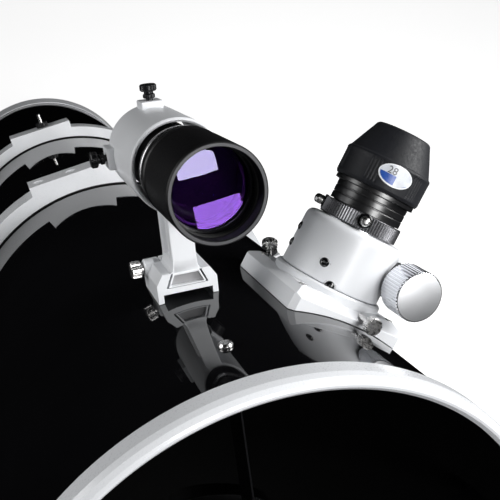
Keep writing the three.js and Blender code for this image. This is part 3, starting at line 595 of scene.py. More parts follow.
def make_ring(name, front):
    rear = front + RING_WIDTH
    middle = front + RING_WIDTH / 2
    for upper in (True, False):
        low, high = (GAP, LUG_Z) if upper else (-LUG_Z, -GAP)
        band = worked(slab(half_ring(upper), front, rear),
                      cuts=countersinks(middle) if upper and name == "front" else (), bevel=0.8)
        lug = brick(188, 216, front + 6, rear - 6, low, high, bevel=1.5, segments=3)
        parts = painted(RING_COAT, band, lug) + painted(FELT, felt(front, upper))
        if upper:
            knuckle = moved(rod(8, front + 11.5, rear - 11.5, 0.8), at(HINGE_X, 0, 0))
            leaf = brick(HINGE_X, -184, front + 11.5, rear - 11.5, GAP, 8, bevel=0.6)
            parts += painted(RING_COAT, knuckle, leaf)
            if name == "front":
                parts += [(moved(rod(5.6, -6, -2.6, 0.4, 24), at(x, middle, RING_FLAT) @ UP), BLACK_METAL)
                          for x in PAD_HOLES]
        else:
            for y0, y1 in ((front + 2, front + 11), (rear - 11, rear - 2)):
                parts.append((moved(rod(8, y0, y1, 0.8), at(HINGE_X, 0, 0)), RING_COAT))
                parts.append((brick(HINGE_X, -184, y0, y1, -8, -GAP, bevel=0.6), RING_COAT))
            parts.append((moved(rod(3, front + 1, rear - 1, 0.8), at(HINGE_X, 0, 0)), CHROME))
            for x0, x1 in ((-PLATE_INNER + GAP, -162), (162, PLATE_INNER - GAP)):
                foot = worked(box(x0, x1, front, rear, -118, -30),
                              cuts=[rod(RING_INNER, front - 5, rear + 5, 0, 192)], bevel=0.8)
                parts.append((foot, RING_COAT))
        half = "upper" if upper else "lower"
        body = f"{name}_ring_lid" if upper else "cradle"
        piece(f"{name}_ring_{half}", body, CRADLE, parts, f"tube_ring_{name}_{half}")
    grip = moved(ribbed(8.5, LUG_Z + GAP, LUG_Z + 16, 10, 0.9, 1.2, 0.5, 0.6, 8), UP)
    stem = moved(rod(3, -10, LUG_Z + 4, 0.3, 24), UP)
    piece(f"{name}_clamp_knob", f"{name}_clamp", CRADLE @ shift(CLAMP_X, middle, 0),
          [(grip, BLACK_PLASTIC), (stem, STEEL)], f"ring_clamp_knob_{name}")


def make_stud():
    nut = ribbed(9, RING_FLAT + GAP, RING_FLAT + 8, 18, 0.6, 1.0, 0.5, 0, 6)
    thread = lathe([(0, RING_FLAT + 5), (3.1, RING_FLAT + 5), (3.1, RING_FLAT + 20), (2.2, RING_FLAT + 21),
                    (0, RING_FLAT + 21)], 0.2, 32)
    place = CRADLE @ shift(6, RING_FRONTS[1] + RING_WIDTH / 2, 0) @ UP
    piece("camera_stud", "rear_ring_lid", place, [(nut, BLACK_METAL), (thread, CHROME)],
          "piggyback_stud")


def make_trunnions():
    first, last = RING_FRONTS[0], RING_FRONTS[1] + RING_WIDTH
    outline = [(first, -118), (last, -118), (last, -34), (RING_FRONTS[1] - 8, -34), (ALTITUDE_S + 46, 40),
               (ALTITUDE_S - 46, 40), (first + RING_WIDTH + 40, -34), (first, -34)]
    head = [(0, 0), (6.5, 0), (6.5, 4.5), (3, 5), (2.6, 2), (0, 2)]
    for side, sign in (("left", -1), ("right", 1)):
        inner = -PLATE_OUTER if sign < 0 else PLATE_INNER
        plate = worked(slab_x(outline, inner, inner + 11, 6), bevel=1.2, segments=3)
        bolts = []
        for front in RING_FRONTS:
            for z in (-100, -56):
                spot = at(sign * PLATE_OUTER, front + RING_WIDTH / 2, z) @ turn(-90 * sign, "Z")
                bolts.append(moved(lathe(head, 0.6, 32), spot))
        piece(f"trunnion_{side}", "cradle", CRADLE, painted(WHITE_COAT, plate) + painted(CHROME, *bolts),
              f"trunnion_plate_{side}")
        seat = CRADLE @ shift(0, ALTITUDE_S, 0) @ turn(180 if sign < 0 else 0, "Y") @ RIGHT
        journal = lathe([(0, PLATE_OUTER + GAP), (46, PLATE_OUTER + GAP), (46, PLATE_OUTER + 8),
                         (36, PLATE_OUTER + 8), (36, SIDE_OUTER + 1), (50, SIDE_OUTER + 1),
                         (50, SIDE_OUTER + 6), (20, SIDE_OUTER + 6), (19, SIDE_OUTER + 5),
                         (0, SIDE_OUTER + 5)], 1.0, 96)
        piece(f"bearing_{side}", "cradle", seat, [(journal, BLACK_PLASTIC)],
              f"altitude_bearing_{side}")
        grip = ribbed(19, SIDE_OUTER + 6 + GAP, SIDE_OUTER + 19 + GAP, 12, 1.6, 2, 0.5, 0, 12)
        cap = rod(8, SIDE_OUTER + 18, SIDE_OUTER + 19.3, 0.4)
        piece(f"tension_knob_{side}", f"altitude_tension_{side}", seat,
              [(grip, BLACK_PLASTIC), (cap, CHROME)], f"altitude_knob_{side}")


# ---------- tube ----------
def make_tube():
    outer = hoop(TUBE_RADIUS - 0.2, TUBE_RADIUS, TUBE_FRONT, TUBE_REAR, 0, 384)
    inner = hoop(TUBE_RADIUS - TUBE_WALL, TUBE_RADIUS - 0.25, TUBE_FRONT, TUBE_REAR, 0, 384)
    piece("tube_shell", "optical_tube", TUBE, [(outer, GLOSS_BLACK), (inner, INNER_BLACK)], "tube",
          weighted=False)


def make_end_rings():
    lip = lathe([(174.2, 3), (176.5, 0.3), (178, 0), (180, 0.6), (182.2, 3), (183.4, 7), (183.5, 19),
                 (TUBE_RADIUS + GAP, 19), (TUBE_RADIUS + GAP, TUBE_FRONT - GAP), (174.2, TUBE_FRONT - GAP)],
                0.5, 384)
    piece("front_ring_lip", "optical_tube", TUBE, [(lip, RING_COAT)], "front_ring")
    inside = TUBE_RADIUS - TUBE_WALL - GAP
    front, rear = 1394, 1402
    band = lathe([(TUBE_RADIUS + GAP, 1374), (181, 1374), (186.3, 1404), (185, 1409), (170, 1409),
                  (170, front), (inside, front), (inside, TUBE_REAR + GAP),
                  (TUBE_RADIUS + GAP, TUBE_REAR + GAP)], 0.8, 256)
    hub = rod(34, front, rear, 0.8, 96)
    spokes = [moved(brick(-13, 13, front, rear, 20, 174, bevel=1.2), turn(deg, "Y"))
              for deg in (0, 120, 240)]
    piece("rear_ring_frame", "optical_tube", TUBE, painted(RING_COAT, band, hub, *spokes), "rear_ring")


def make_mirror_cell():
    plate = worked(
        hoop(40, 158, CELL_FRONT, CELL_FRONT + 9, 0.8, 128),
        cuts=[moved(rod(21, CELL_FRONT - 5, CELL_FRONT + 20, 0, 48), turn(deg + 30, "Y") @ at(0, 0, 86))
              for deg in range(0, 360, 60)], bevel=0.6)
    parts = [(plate, CAST)]
    for deg in (60, 180, 300):
        low, high = MIRROR_FRONT - 5, MIRROR_RADIUS + 6
        post = brick(-9, 9, low, CELL_FRONT + 8, MIRROR_RADIUS + 0.6, high, bevel=0.8)
        clip = brick(-9, 9, low, MIRROR_FRONT - 0.6, MIRROR_RADIUS - 9, high, bevel=0.8)
        screw = moved(rod(3, MIRROR_FRONT - 7.5, MIRROR_FRONT - 5, 0.6, 24), at(0, 0, MIRROR_RADIUS + 2))
        parts += around(((post, CAST), (clip, BLACK_PLASTIC), (screw, CHROME)), turn(deg, "Y"))
    piece("cell_casting", "optical_tube", TUBE, parts, "mirror_cell")
    bowl = 4 * FOCAL_LENGTH
    face = [(r, MIRROR_FRONT + (MIRROR_RADIUS ** 2 / bowl - r * r / bowl)) for r in range(0, 152, 10)]
    back = [(MIRROR_RADIUS, MIRROR_FRONT + 1), (MIRROR_RADIUS, MIRROR_REAR), (0, MIRROR_REAR)]
    glass = lathe(face + back, 0, 192)
    piece("mirror_disc", "optical_tube", TUBE, [(glass, MIRROR)], "primary_mirror")
    for i in range(3):
        stem = rod(4, CELL_FRONT + 9 + GAP, 1404, 0.3, 24)
        spring = hoop(6, 8, CELL_FRONT + 10, 1392, 0.3, 32)
        grip = ribbed(12, 1402.4, 1422, 10, 1.4, 1.6, 0.5, 0, 12)
        place = TUBE @ turn(120 * i, "Y") @ shift(0, 0, KNOB_CIRCLE)
        piece(f"cell_knob_{i + 1}", f"collimation_{i + 1}", place,
              [(stem, STEEL), (spring, STEEL), (grip, BLACK_PLASTIC)],
              f"collimation_knob_{i + 1}")


def make_spider():
    hub = lathe([(3.4, HUB_FRONT), (17, HUB_FRONT), (19, HUB_FRONT + 2), (19, HUB_REAR), (3.4, HUB_REAR)],
                0.6, 96)
    bolt = lathe([(0, SPIDER_S - 19), (5, SPIDER_S - 19), (5.6, SPIDER_S - 15), (0, SPIDER_S - 15)], 0.5, 48)
    parts = [(hub, SATIN_BLACK), (bolt, CHROME)]
    edge = TUBE_RADIUS - TUBE_WALL - GAP
    for deg in SPIDER_ANGLES:
        blade = box(-0.55, 0.55, HUB_FRONT, HUB_REAR, 15, edge)
        block = brick(-4, 4, HUB_FRONT, HUB_REAR, 172, edge, bevel=0.6)
        nut = moved(lathe([(0, TUBE_RADIUS), (4.6, TUBE_RADIUS), (4.6, TUBE_RADIUS + 1.4),
                           (3.4, TUBE_RADIUS + 2.8), (0, TUBE_RADIUS + 2.8)], 0.4, 32),
                    at(0, SPIDER_S, 0) @ UP)
        parts += around(painted(BLACK_METAL, blade, block) + painted(CHROME, nut), turn(deg, "Y"))
    piece("spider_vanes", "optical_tube", TUBE, parts, "spider")


def make_secondary():
    glass = worked(rod(SECONDARY_RADIUS, -70, 70, 0, 96),
                   cuts=[moved(box(-90, 90, -200, -10, -200, 200), turn(45, "X")),
                         moved(box(-90, 90, 0, 200, -200, 200), turn(45, "X"))])
    piece("secondary_glass", "secondary", FOCUSER, [(glass, MIRROR)], "secondary_mirror")
    top = HUB_REAR + GAP - FOCUSER_S
    holder = worked(lathe([(0, top), (31, top), (33, top + 2), (33, 60), (0, 60)], 0.5, 96),
                    cuts=[moved(box(-90, 90, -10.3, 200, -200, 200), turn(45, "X"))])
    stem = rod(3, top - 40, top + 2, 0.3, 24)
    piece("secondary_stalk", "secondary", FOCUSER, [(holder, SATIN_BLACK), (stem, STEEL)],
          "secondary_holder")


# ---------- finder shoe, bracket and finder ----------
def make_shoe():
    profile = [(-21.6, 172), (21.6, 172), (21.6, 190.5), (17, 197.8), (10.6, 197.8), (15.2, 187.2),
               (-15.2, 187.2), (-10.6, 197.8), (-17, 197.8), (-21.6, 190.5)]
    body = worked(
        slab([(x + SHOE_X, z) for x, z in profile], SHOE_FRONT, SHOE_REAR, 0.8, 2),
        cuts=[rod(TUBE_RADIUS + GAP, SHOE_FRONT - 5, SHOE_REAR + 5, 0, 256),
              box(SHOE_X - 17.6, SHOE_X + 17.6, SHOE_FRONT - 5, SHOE_REAR + 5, 165, 183.2)],
        bevel=0.7, segments=2)
    screw_s = SHOE_FRONT + 34
    boss = worked(moved(lathe([(0, 15.6), (6.6, 15.6), (6.6, 22), (5.4, 23.2), (0, 23.2)], 0.6, 48),
                        at(SHOE_X, screw_s, SHOE_SCREW_Z) @ turn(90, "Z")),
                  cuts=[box(SHOE_X - 15.4, SHOE_X, screw_s - 10, screw_s + 10, 180, 205)])
    piece("shoe_body", "optical_tube", TUBE, painted(WHITE_COAT, body, boss), "finder_shoe")
    stem = rod(2.5, 14.2, 26, 0.3, 24)
    neck = lathe([(0, 23.4), (4, 23.4), (4, 25.6), (0, 25.6)], 0.4, 32)
    grip = ribbed(6.2, 25, 32.5, 24, 0.5, 0.7, 0.55, 0.4, 6)
    place = TUBE @ shift(SHOE_X, screw_s, SHOE_SCREW_Z) @ turn(90, "Z")
    piece("shoe_screw_chrome", "shoe_screw", place, painted(CHROME, stem, neck, grip),
          "shoe_thumbscrew")


def finder_boss(deg):
    block = worked(box(-8, 8, ADJUSTER_S - 9, ADJUSTER_S + 9, 26, 37),
                   cuts=[moved(rod(3.4, 20, 60, 0, 32), at(0, ADJUSTER_S, 0) @ UP)], bevel=1.0, segments=2)
    return moved(worked(moved(block, turn(deg, "Y")), cuts=[rod(BRACKET_BORE + 0.6, 200, 250, 0, 96)]),
                 at(FINDER_X, 0, FINDER_Z))


def make_bracket():
    ring = moved(lathe([(BRACKET_BORE, BRACKET_FRONT + 1.4), (BRACKET_BORE + 1.2, BRACKET_FRONT),
                        (BRACKET_RADIUS - 0.9, BRACKET_FRONT), (BRACKET_RADIUS, BRACKET_FRONT + 0.9),
                        (BRACKET_RADIUS, BRACKET_REAR - 1.2), (BRACKET_RADIUS - 1, BRACKET_REAR),
                        (BRACKET_BORE, BRACKET_REAR)], 0.35, 192), at(FINDER_X, 0, FINDER_Z))
    half, y0, y1 = 8.6, BRACKET_FRONT, BRACKET_FRONT + 30
    groove = half - 2.8
    section = mirrored([(half, y0), (half, y0 + 7), (groove, y0 + 9), (groove, y1 - 9), (half, y1 - 7),
                        (half, y1)])
    stem = worked(moved(slab_z(section, 196, FINDER_Z - 28, 0.8), at(SHOE_X, 0, 0)),
                  cuts=[moved(rod(BRACKET_BORE + 0.8, 100, 300, 0, 128), at(FINDER_X, 0, FINDER_Z))])
    flare = mirrored([(half, 197), (half + 3.2, 197), (half + 1.1, 198.6), (half + 0.2, 201.5),
                      (half, 206)])
    skirt = worked(slab([(x + SHOE_X, z) for x, z in flare], y0, y1), bevel=0.5)
    pocket = [(-12, 188.4), (12, 188.4), (8.6, 196), (-8.6, 196)]
    wedge = [(-13.6, 187.6), (13.6, 187.6), (9.4, 197.4), (-9.4, 197.4)]
    foot = worked(slab([(x + SHOE_X, z) for x, z in wedge], SHOE_FRONT, SHOE_REAR + 2),
                  cuts=[slab([(x + SHOE_X, z) for x, z in pocket], SHOE_FRONT - 5, SHOE_FRONT + 4)],
                  bevel=0.35)
    # a mid-grey slab fills the bottom of the pocket: painted shade in the recess
    middle = 192.2
    shade_slab = slab([(x * 0.99 + SHOE_X, (z - middle) * 0.97 + middle) for x, z in pocket],
                SHOE_FRONT + 3, SHOE_FRONT + 5)
    parts = painted(WHITE_COAT, ring, stem, skirt, foot) + painted(POCKET_SHADE, shade_slab)
    parts += painted(WHITE_COAT, *(finder_boss(deg) for deg in (0, -90, 135)))
    piece("bracket_casting", "bracket", TUBE, parts, "finder_bracket")
    for i, deg in enumerate((0, -90)):
        thread = rod(2.5, 27, 44, 0.3, 24)
        nut = ribbed(4.4, 38.4, 41.4, 12, 0.4, 0.5, 0.5, 0, 6)
        grip = ribbed(6.1, 43.4, 48.4, 18, 0.5, 0.9, 0.5, 0.3, 6)
        neck = rod(3.4, 41.6, 43.8, 0.4, 32)
        place = TUBE @ shift(FINDER_X, ADJUSTER_S, FINDER_Z) @ turn(deg, "Y") @ UP
        piece(f"adjuster_screw_{i + 1}", f"adjuster_{i + 1}", place,
              painted(BLACK_METAL, thread, nut, neck, grip), f"finder_adjuster_{i + 1}")
    tip = rod(3.9, 27, 50, 0.8, 32)
    cap = lathe([(0, 37.3), (6.5, 37.3), (6.5, 48.5), (5, 50), (0, 50)], 0.8, 48)
    place = TUBE @ shift(FINDER_X, ADJUSTER_S, FINDER_Z) @ turn(135, "Y") @ UP
    piece("spring_plunger_cap", "plunger", place, [(tip, STEEL), (cap, BLACK_METAL)],
          "finder_spring_plunger")


def make_finder():
    place = TUBE @ shift(FINDER_X, 0, FINDER_Z)
    barrel = lathe([(25.5, 134.5), (25.5, 238), (18, 250), (14, 250), (14, 246), (22.5, 236), (22.5, 98),
                    (25.2, 98), (25.2, 134.5)], 0.6, 128)
    bright = lathe([(25.4, 141.6), (28.5, 141.6), (28.9, 142.1), (28.9, 145.4), (28.5, 145.9),
                    (25.4, 145.9)], 0.3, 128)
    dark = hoop(25.4, 27.8, 134.2, 141.5, 0.3, 128)
    piece("finder_barrel", "finder", place, [(barrel, BLACK_METAL), (bright, STEEL), (dark, BLACK_METAL)],
          "finder_tube")
    hood = lathe([(27, 70.2), (27.8, 69.4), (29.4, 69.4), (30.1, 70.2), (30.1, 121), (29.3, 122.2),
                  (29.3, 127.6), (30.1, 128.8), (30.1, 134), (26, 134), (26, 97.4), (27, 97.4)], 0.3, 192)
    rim = lathe([(27.45, 69.36), (29.1, 69.36), (29.2, 69.7), (27.35, 69.7)], 0.1, 192)
    stops = [lathe([(26.95, y), (26.95, y + 1.1), (26.3, y + 0.55)], 0, 96) for y in (78, 80.4, 82.8)]
    retainer = lathe([(26.9, 87), (26.9, 89.8), (25.6, 89.8), (25.6, 88)], 0.3, 128)
    parts = [(hood, SATIN_BLACK), (rim, RIM_GREY), (retainer, BLACK_METAL)] + painted(INNER_BLACK, *stops)
    piece("objective_cell", "finder_front", place, parts, "finder_objective_cell")
    front_curve, rear_curve = 232.3, 840  # twice the radii of the two faces
    front = [(r, 90 + r * r / front_curve) for r in range(0, 27, 2)]
    rear = [(r, 97.2 - r * r / rear_curve) for r in range(26, -1, -2)]
    glass = lathe(front + rear, 0, 128)
    backing = rod(22.4, 112, 112.6, 0, 64)
    piece("objective_glass", "finder_front", place, [(glass, LENS)], "finder_lens")
    piece("finder_baffle", "finder", place, [(backing, INNER_BLACK)], None)
    cup = lathe([(11, 250.4), (17.5, 250.4), (17.5, 272), (15.8, 275), (15.5, 286), (10, 286), (10, 284),
                 (11, 280)], 0.8, 96)
    grip = ribbed(17.9, 254, 266, 30, 0.5, 0.5, 0.5, 0, 6)
    lens = lathe([(0, 281), (10.2, 282), (10.2, 283), (0, 284)], 0, 64)
    piece("finder_eyecup", "finder_eye", place, [(cup, RUBBER), (grip, BLACK_METAL), (lens, EYE_LENS)],
          "finder_eyepiece")


# ---------- focuser ----------
def button_screw(deg, radius, height):
    """A black button head in a bright washer, on the round wall of the housing."""
    head = lathe([(0, 0.9), (0.9, 1.5), (1.3, 1.9), (2.2, 1.6), (3.1, 0.9), (3.7, 0), (3.7, -2), (0, -2)],
                 0.3, 48)
    washer = hoop(4.2, 4.6, -1, 0.1, 0.05, 48)
    spot = turn(deg, "Z") @ at(radius, 0, height) @ RIGHT
    return [(moved(head, spot), GLOSS_BLACK), (moved(washer, spot), STEEL)]


def chamfered(half, low, high, first, last):
    """A block from the side, its first and last upper corners cut off by (along, down)."""
    return [(-half, low), (half, low), (half, high - last[1]), (half - last[0], high),
            (first[0] - half, high), (-half, high - first[1])]


def make_focuser_base():
    front_slope, rear_slope, side_slope = (13, 6.5), (8, 5.5), (8, 5.5)
    top, wall = 189.5, 160
    across = chamfered(BASE_HALF_A, wall, top, side_slope, side_slope)
    along = chamfered(BASE_HALF_B, wall - 5, top, front_slope, rear_slope)
    plan = [(-BASE_HALF_A, -BASE_HALF_B + 4), (-BASE_HALF_A + 4, -BASE_HALF_B),
            (BASE_HALF_A - 7, -BASE_HALF_B), (BASE_HALF_A, -BASE_HALF_B + 9),
            (BASE_HALF_A, BASE_HALF_B - 9), (BASE_HALF_A - 7, BASE_HALF_B),
            (4 - BASE_HALF_A, BASE_HALF_B), (-BASE_HALF_A, BASE_HALF_B - 4)]
    body = worked(slab(across, -BASE_HALF_B - 5, BASE_HALF_B + 5),
                  keeps=[slab_x(along, -BASE_HALF_A - 5, BASE_HALF_A + 5),
                         slab_z(plan, wall - 10, top + 10)],
                  cuts=[rod(TUBE_RADIUS + GAP, -90, 90, 0, 384)], bevel=1.3, segments=3, angle=20)
    flange = moved(lathe([(30.5, 180), (43, 180), (43, 193.2), (41.6, 194.7), (30.5, 194.7)], 0.5, 160), UP)
    parts = painted(WHITE_COAT, body, flange)
    for a, b in ((-39, -35.5), (39, -35.5), (-39, 38), (39, 38)):
        head = lathe([(0, 0.1), (1.4, 0.1), (1.5, 0.6), (2.7, 0.6), (3.4, 0), (3.4, -2), (0, -2)], 0.1, 32)
        parts.append((moved(head, at(a, b, top) @ UP), CHROME))
    piece("focuser_saddle", "optical_tube", FOCUSER, parts, "focuser_base")
    places = (("rear", shift(*LOCK_REAR) @ turn(LOCK_REAR_TILT, "X")),
              ("front", shift(*LOCK_FRONT) @ FORWARD))
    for name, place in places:
        stem = rod(2.3, -7.6, 10, 0.3, 24)
        collar = lathe([(0, 7.4), (3.6, 7.4), (3.6, 8.6), (0, 9.2)], 0.3, 32)
        grip = ribbed(6.5, 9, 15, 26, 0.45, 0.6, 0.55, 0.4, 6)
        piece(f"lock_screw_{name}", f"lock_{name}", FOCUSER @ place,
              painted(CHROME, stem, collar, grip), f"focuser_lock_screw_{name}")


def make_housing():
    drum = moved(lathe([(28.5, HOUSING_BOTTOM), (39.5, HOUSING_BOTTOM), (38.9, HOUSING_TOP - 5.5),
                        (38.3, HOUSING_TOP - 3), (37, HOUSING_TOP - 1.2), (34.5, HOUSING_TOP),
                        (28.5, HOUSING_TOP)], 0.8, 160), UP)
    block = brick(10, 44, -22, 22, SHAFT_H - 11, SHAFT_H + 11, bevel=4.5, segments=4)
    body = worked(drum, joins=[block], voxel=0.8, smooth=6)
    body = worked(body, cuts=[moved(rod(28.5, 180, 250, 0, 96), UP)])
    parts = [(body, WHITE_COAT)]
    for deg, h in ((-134.8, 208.8), (-119, 195.6), (165, 223.2), (163, 209.6), (90, 215), (60, 205)):
        parts += button_screw(deg, 39.2 - 0.02 * (h - HOUSING_BOTTOM), h)
    knuckle = brick(40, 46.5, -7, 1, 229, 234.5, bevel=1.2, segments=3)
    parts.append((knuckle, WHITE_COAT))
    for side in (-1, 1):
        ring = moved(lathe([(5, 21.5), (12.5, 21.5), (14.5, 23), (14.5, 37.6), (5, 37.6)], 0.4, 96),
                     at(SHAFT_A, 0, SHAFT_H) @ (Matrix() if side > 0 else FORWARD))
        parts.append((ring, BLACK_METAL))
    piece("housing_casting", "focuser", FOCUSER, parts, "focuser_housing")


def coarse_knob(start, end, cone):
    """A ribbed sleeve with a turned conical face."""
    sleeve = ribbed(KNOB_RADIUS, start, end, 48, 0.85, 0.7, 0.55, 0, 6)
    face = lathe([(0, end + cone), (KNOB_RADIUS - 1.2, end + 0.15), (KNOB_RADIUS - 0.9, end - 0.4),
                  (0, end - 0.4)], 0.12, 128)
    return [(sleeve, RIBBED), (face, TURNED)]


def make_knobs():
    place = FOCUSER @ shift(SHAFT_A, 0, SHAFT_H)
    shaft = rod(4.5, -62, 62, 0.4, 48)
    parts = [(shaft, STEEL)]
    for start, end, facing in ((38.6, 65, FORWARD), (38.6, 58, Matrix())):
        cone = 4.2 if facing == FORWARD else 0.0
        parts += around(coarse_knob(start, end - cone, cone), facing)
        neck = hoop(4, 9, 31, 38.9, 0.4, 64)
        parts.append((moved(neck, facing), BLACK_METAL))
    piece("coarse_knobs", "coarse", place, parts, "focus_shaft")
    grip = ribbed(10, 60.2, 74, 30, 0.6, 0.7, 0.55, 0, 6)
    face = lathe([(0, 76), (8.4, 74.4), (8.8, 73.6), (0, 73.6)], 0.1, 96)
    piece("fine_knob", "fine", place, [(grip, BLACK_METAL), (face, TURNED)], "fine_focus_knob")


def make_drawtube():
    tube = hoop(DRAW_BORE, 28.2, 150, 242.2, 0.3, 128)
    piece("drawtube_sleeve", "draw", FOCUSER @ UP, [(tube, DRAW_METAL)], "drawtube")
    bottom, top = 240.2, 252.2

    def knurl(r, y, a):
        fine = bottom + 0.7 < y < top - 0.7 and r > 30
        return r - 0.7 * (0.5 + 0.5 * math.cos(a * COLLAR_RIBS)) if fine else r
    collar = lathe([(DRAW_BORE, bottom), (30.1, bottom), (30.7, bottom + 0.6), (30.7, bottom + 0.9),
                    (30.7, top - 0.9), (30.7, top - 0.6), (30.1, top), (DRAW_BORE, top)],
                   0, COLLAR_SIDES, knurl)
    parts = [(collar, KNURL_BLACK)]
    for deg in COLLAR_SCREWS:
        pad = lathe([(0, 29), (5.4, 29), (5.4, 31), (4.9, 31.3), (0, 31.3)], 0.2, 48)
        spot = turn(-90, "X") @ turn(deg, "Z") @ at(0, 0, COLLAR_H) @ RIGHT
        parts.append((moved(pad, spot), GLOSS_BLACK))
    piece("collar_ring", "draw", FOCUSER @ UP, parts, "compression_collar")
    for i, deg in enumerate(COLLAR_SCREWS):
        stem = rod(2.3, 29, 33, 0.3, 24)
        grip = lathe([(0, 31.4), (3.1, 31.4), (3.6, 32), (3.6, 36), (3, 37.4), (1.6, 38.2), (0, 38.4)],
                     0.5, 64)
        place = FOCUSER @ turn(deg, "Z") @ shift(0, 0, COLLAR_H) @ RIGHT
        piece(f"collar_screw_chrome_{i + 1}", f"collar_screw_{i + 1}", place,
              painted(CHROME, stem, grip), f"collar_thumbscrew_{i + 1}")


# ---------- eyepiece ----------
def wrapped(points, centre_deg, height, lift):
    """Points of a flat drawing laid on the round grip: x runs round it, y runs up it."""
    out = []
    for x, y in points:
        a = math.radians(centre_deg) + x / GRIP_RADIUS
        r = GRIP_RADIUS + lift
        out.append((r * math.cos(a), r * math.sin(a), height + y))
    return out


def sticker(outline, centre_deg, height, lift):
    """A thin patch on the grip, filled as a fan of small triangles from its middle."""
    bm = bmesh.new()
    cx = sum(p[0] for p in outline) / len(outline)
    cy = sum(p[1] for p in outline) / len(outline)
    rings = []
    for k in range(1, 9):
        t = k / 8
        rings.append([bm.verts.new(p) for p in wrapped(
            [(cx + (x - cx) * t, cy + (y - cy) * t) for x, y in outline], centre_deg, height, lift)])
    middle = bm.verts.new(wrapped([(cx, cy)], centre_deg, height, lift)[0])
    count = len(outline)
    for i in range(count):
        j = (i + 1) % count
        bm.faces.new((middle, rings[0][i], rings[0][j]))
        for low, high in zip(rings, rings[1:]):
            bm.faces.new((low[i], high[i], high[j], low[j]))
    return bm


def numerals(text, size, centre_deg, height, lift, offset):
    """Generic numerals as a mesh wrapped on the grip."""
    curve = bpy.data.curves.new("numerals", "FONT")
    curve.body = text
    curve.size = size
    curve.align_x = "CENTER"
    curve.align_y = "CENTER"
    curve.resolution_u = 4
    obj = linked("numerals", curve)
    mesh = bpy.data.meshes.new_from_object(obj.evaluated_get(bpy.context.evaluated_depsgraph_get()))
    bm = bmesh.new()
    bm.from_mesh(mesh)
    spots = wrapped([(v.co.x + offset[0], v.co.y + offset[1]) for v in bm.verts], centre_deg, height, lift)
    for vert, spot in zip(bm.verts, spots):
        vert.co = spot
    bpy.data.objects.remove(obj)
    bpy.data.curves.remove(curve)
    bpy.data.meshes.remove(mesh)
    return bm


def ellipse(half_width, half_height, start=0, end=360, steps=64):
    out = []
    for i in range(steps):
        a = math.radians(start + (end - start) * i / (steps if end - start == 360 else steps - 1))
        out.append((half_width * math.cos(a), half_height * math.sin(a)))
    return out


def make_eyepiece():
    body = lathe([(22.5, 222), (25.2, 222), (25.2, 252.6), (28.1, 252.6), (28.1, 257.2), (27.7, 257.6),
                  (27.7, 258.2), (28.1, 258.6), (28.1, 262.4), (27.7, 262.8), (27.7, 263.4), (28.1, 263.8),
                  (28.1, 267.5), (31.2, 267.8), (31.2, 270.9), (28, 271), (28, 292), (19.5, 304), (16, 304),
                  (16, 292), (22.5, 280)], 0.25, 192)
    piece("eyepiece_barrel", "eyepiece", FOCUSER @ UP, [(body, BARREL_BLACK)], "eyepiece_body")
    glass = lathe([(0, 296), (15.7, 296), (15.7, 300), (12, 301.1), (6, 302.1), (0, 302.5)], 0.2, 96)
    piece("eyepiece_glass", "eyepiece", FOCUSER @ UP, [(glass, EYE_LENS)], "eyepiece_lens")

    def grips(r, y, a):
        deg = math.degrees(a) % 60
        ribs = 6 < deg < 24 and 275 < y < 291 and r > 31
        return r - 0.55 * (0.5 - 0.5 * math.cos(math.radians((deg - 6) / 18 * 360 * 4))) if ribs else r
    rows = [(GRIP_RADIUS - 0.9 + 0.9 * min(1, k / 2), GRIP_LOW + k * 1.1) for k in range(0, 4)]
    rows += [(GRIP_RADIUS + 0.005 * k, 275.4 + k * 1.25) for k in range(0, 13)]
    rows += [(GRIP_RADIUS + 0.3, 292), (GRIP_RADIUS - 0.2, 293.4), (31.8, 294.2), (31.3, 295.2)]
    rows += [(26.3, 306.2), (22.6, 314), (21.6, 316.4), (20.4, 317.5), (18.6, 317.6), (17.4, 316.8)]
    rows += [(17.2, 305), (19.9, 304.6), (28.3, 292.2), (28.3, GRIP_LOW)]
    cup = lathe(rows, 0.3, 720, grips, 2)
    piece("eyecup_rubber", "eyepiece", FOCUSER @ UP, [(cup, RUBBER)], "eyecup")
    deg, height = LABEL_DEG, LABEL_HEIGHT
    white = sticker(ellipse(13.3, 7.9), deg, height, 0.32)
    grey = sticker(ellipse(12.5, 7.1), deg, height, 0.36)
    edge = ellipse(12, 6.7, 180, 272, 40)
    corner = (edge[-1][0], edge[0][1])
    side = [(corner[0], edge[-1][1] * (1 - k / 8) + corner[1] * k / 8) for k in range(1, 8)]
    top = [(corner[0] * (1 - k / 12) + edge[0][0] * k / 12, corner[1]) for k in range(0, 12)]
    blue = sticker(edge + side + top, deg, height, 0.40)
    accent = sticker(ellipse(12, 6.7, 306, 334, 24), deg, height, 0.40)
    number = numerals("28", 7.4, deg, height, 0.44, (-3.8, 2.6))
    parts = painted(LABEL_WHITE, white) + painted(LABEL_GREY, grey)
    parts += painted(LABEL_BLUE, blue, accent) + painted(LABEL_INK, number)
    piece("number_plate", "eyepiece", FOCUSER, parts, None, weighted=False)


# ---------- studio ----------
def aimed(location, target):
    back = (Vector(location) - Vector(target)).normalized()
    return back.to_track_quat("Z", "Y").to_matrix().to_4x4()


def softbox(name, location, target, width, height, power, roll=0):
    data = bpy.data.lights.new(name, "AREA")
    data.shape = "RECTANGLE"
    data.size = width
    data.size_y = height
    data.energy = power
    light = linked(name, data)
    light.matrix_world = Matrix.Translation(location) @ aimed(location, target) @ turn(roll, "Z")


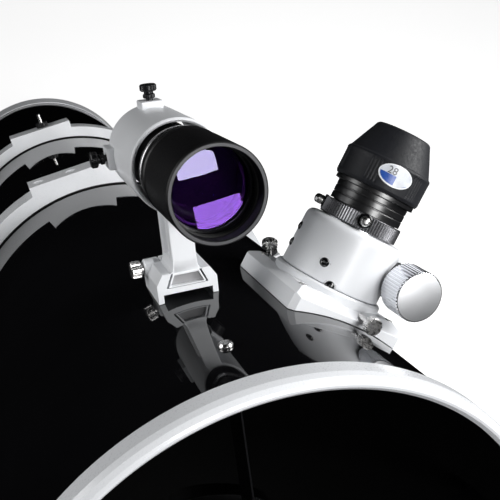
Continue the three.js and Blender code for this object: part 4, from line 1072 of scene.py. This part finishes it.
def make_studio(camera):
    floor_material = finish("studio_floor", (0.93, 0.93, 0.93), 0.7, mottle=0.01, bump=0.0)
    fill(floor_material.node_tree.nodes["Principled BSDF"],
         {"Emission Color": (1, 1, 1, 1), "Emission Strength": FLOOR_GLOW})
    bm = bmesh.new()
    bmesh.ops.create_circle(bm, cap_ends=True, segments=96, radius=FLOOR_RADIUS)
    bmesh.ops.translate(bm, verts=bm.verts, vec=FLOOR_MIDDLE)
    mesh = bpy.data.meshes.new("floor")
    bm.to_mesh(mesh)
    bm.free()
    mesh.materials.append(floor_material)
    floor = linked("floor", mesh)
    floor.visible_glossy = False
    world = bpy.data.worlds.new("studio")
    world.use_nodes = True
    fill(world.node_tree.nodes["Background"], {"Color": (0.97, 0.98, 1.0, 1), "Strength": WORLD_GLOW})
    bpy.context.scene.world = world
    world.cycles_visibility.diffuse = False
    world.cycles_visibility.glossy = False
    world.cycles_visibility.transmission = False
    bpy.context.scene.view_settings.view_transform = "Standard"
    eye = camera.matrix_world.translation
    right, up, back = camera.matrix_world.to_3x3().transposed()
    target = TUBE @ Vector((0, 0.15, 0.25))
    lens = TUBE @ Vector((FINDER_X * MM, 0.092, FINDER_Z * MM))
    tilt = (TUBE.to_3x3() @ Vector((-0.054, -1, 0.15))).normalized()
    glance = (lens - eye).normalized()
    bounce = (glance - 2 * glance.dot(tilt) * tilt).normalized()
    softbox("front_softbox", lens + bounce * 1.3, lens, 0.64, 0.37, FRONT_POWER, FRONT_ROLL)
    softbox("right_softbox", eye + right * 1.3 + up * 0.5 - back * 0.2, target, 0.9, 0.9, RIGHT_POWER)
    softbox("left_softbox", eye - right * 1.2 + up * 0.3 - back * 0.1, target, 0.8, 0.9, LEFT_POWER)


camera = make_camera()
make_ground()
make_rocker()
for ring_name, ring_front in zip(("front", "rear"), RING_FRONTS):
    make_ring(ring_name, ring_front)
make_stud()
make_trunnions()
make_tube()
make_end_rings()
make_mirror_cell()
make_spider()
make_secondary()
make_shoe()
make_bracket()
make_finder()
make_focuser_base()
make_housing()
make_knobs()
make_drawtube()
make_eyepiece()
make_studio(camera)
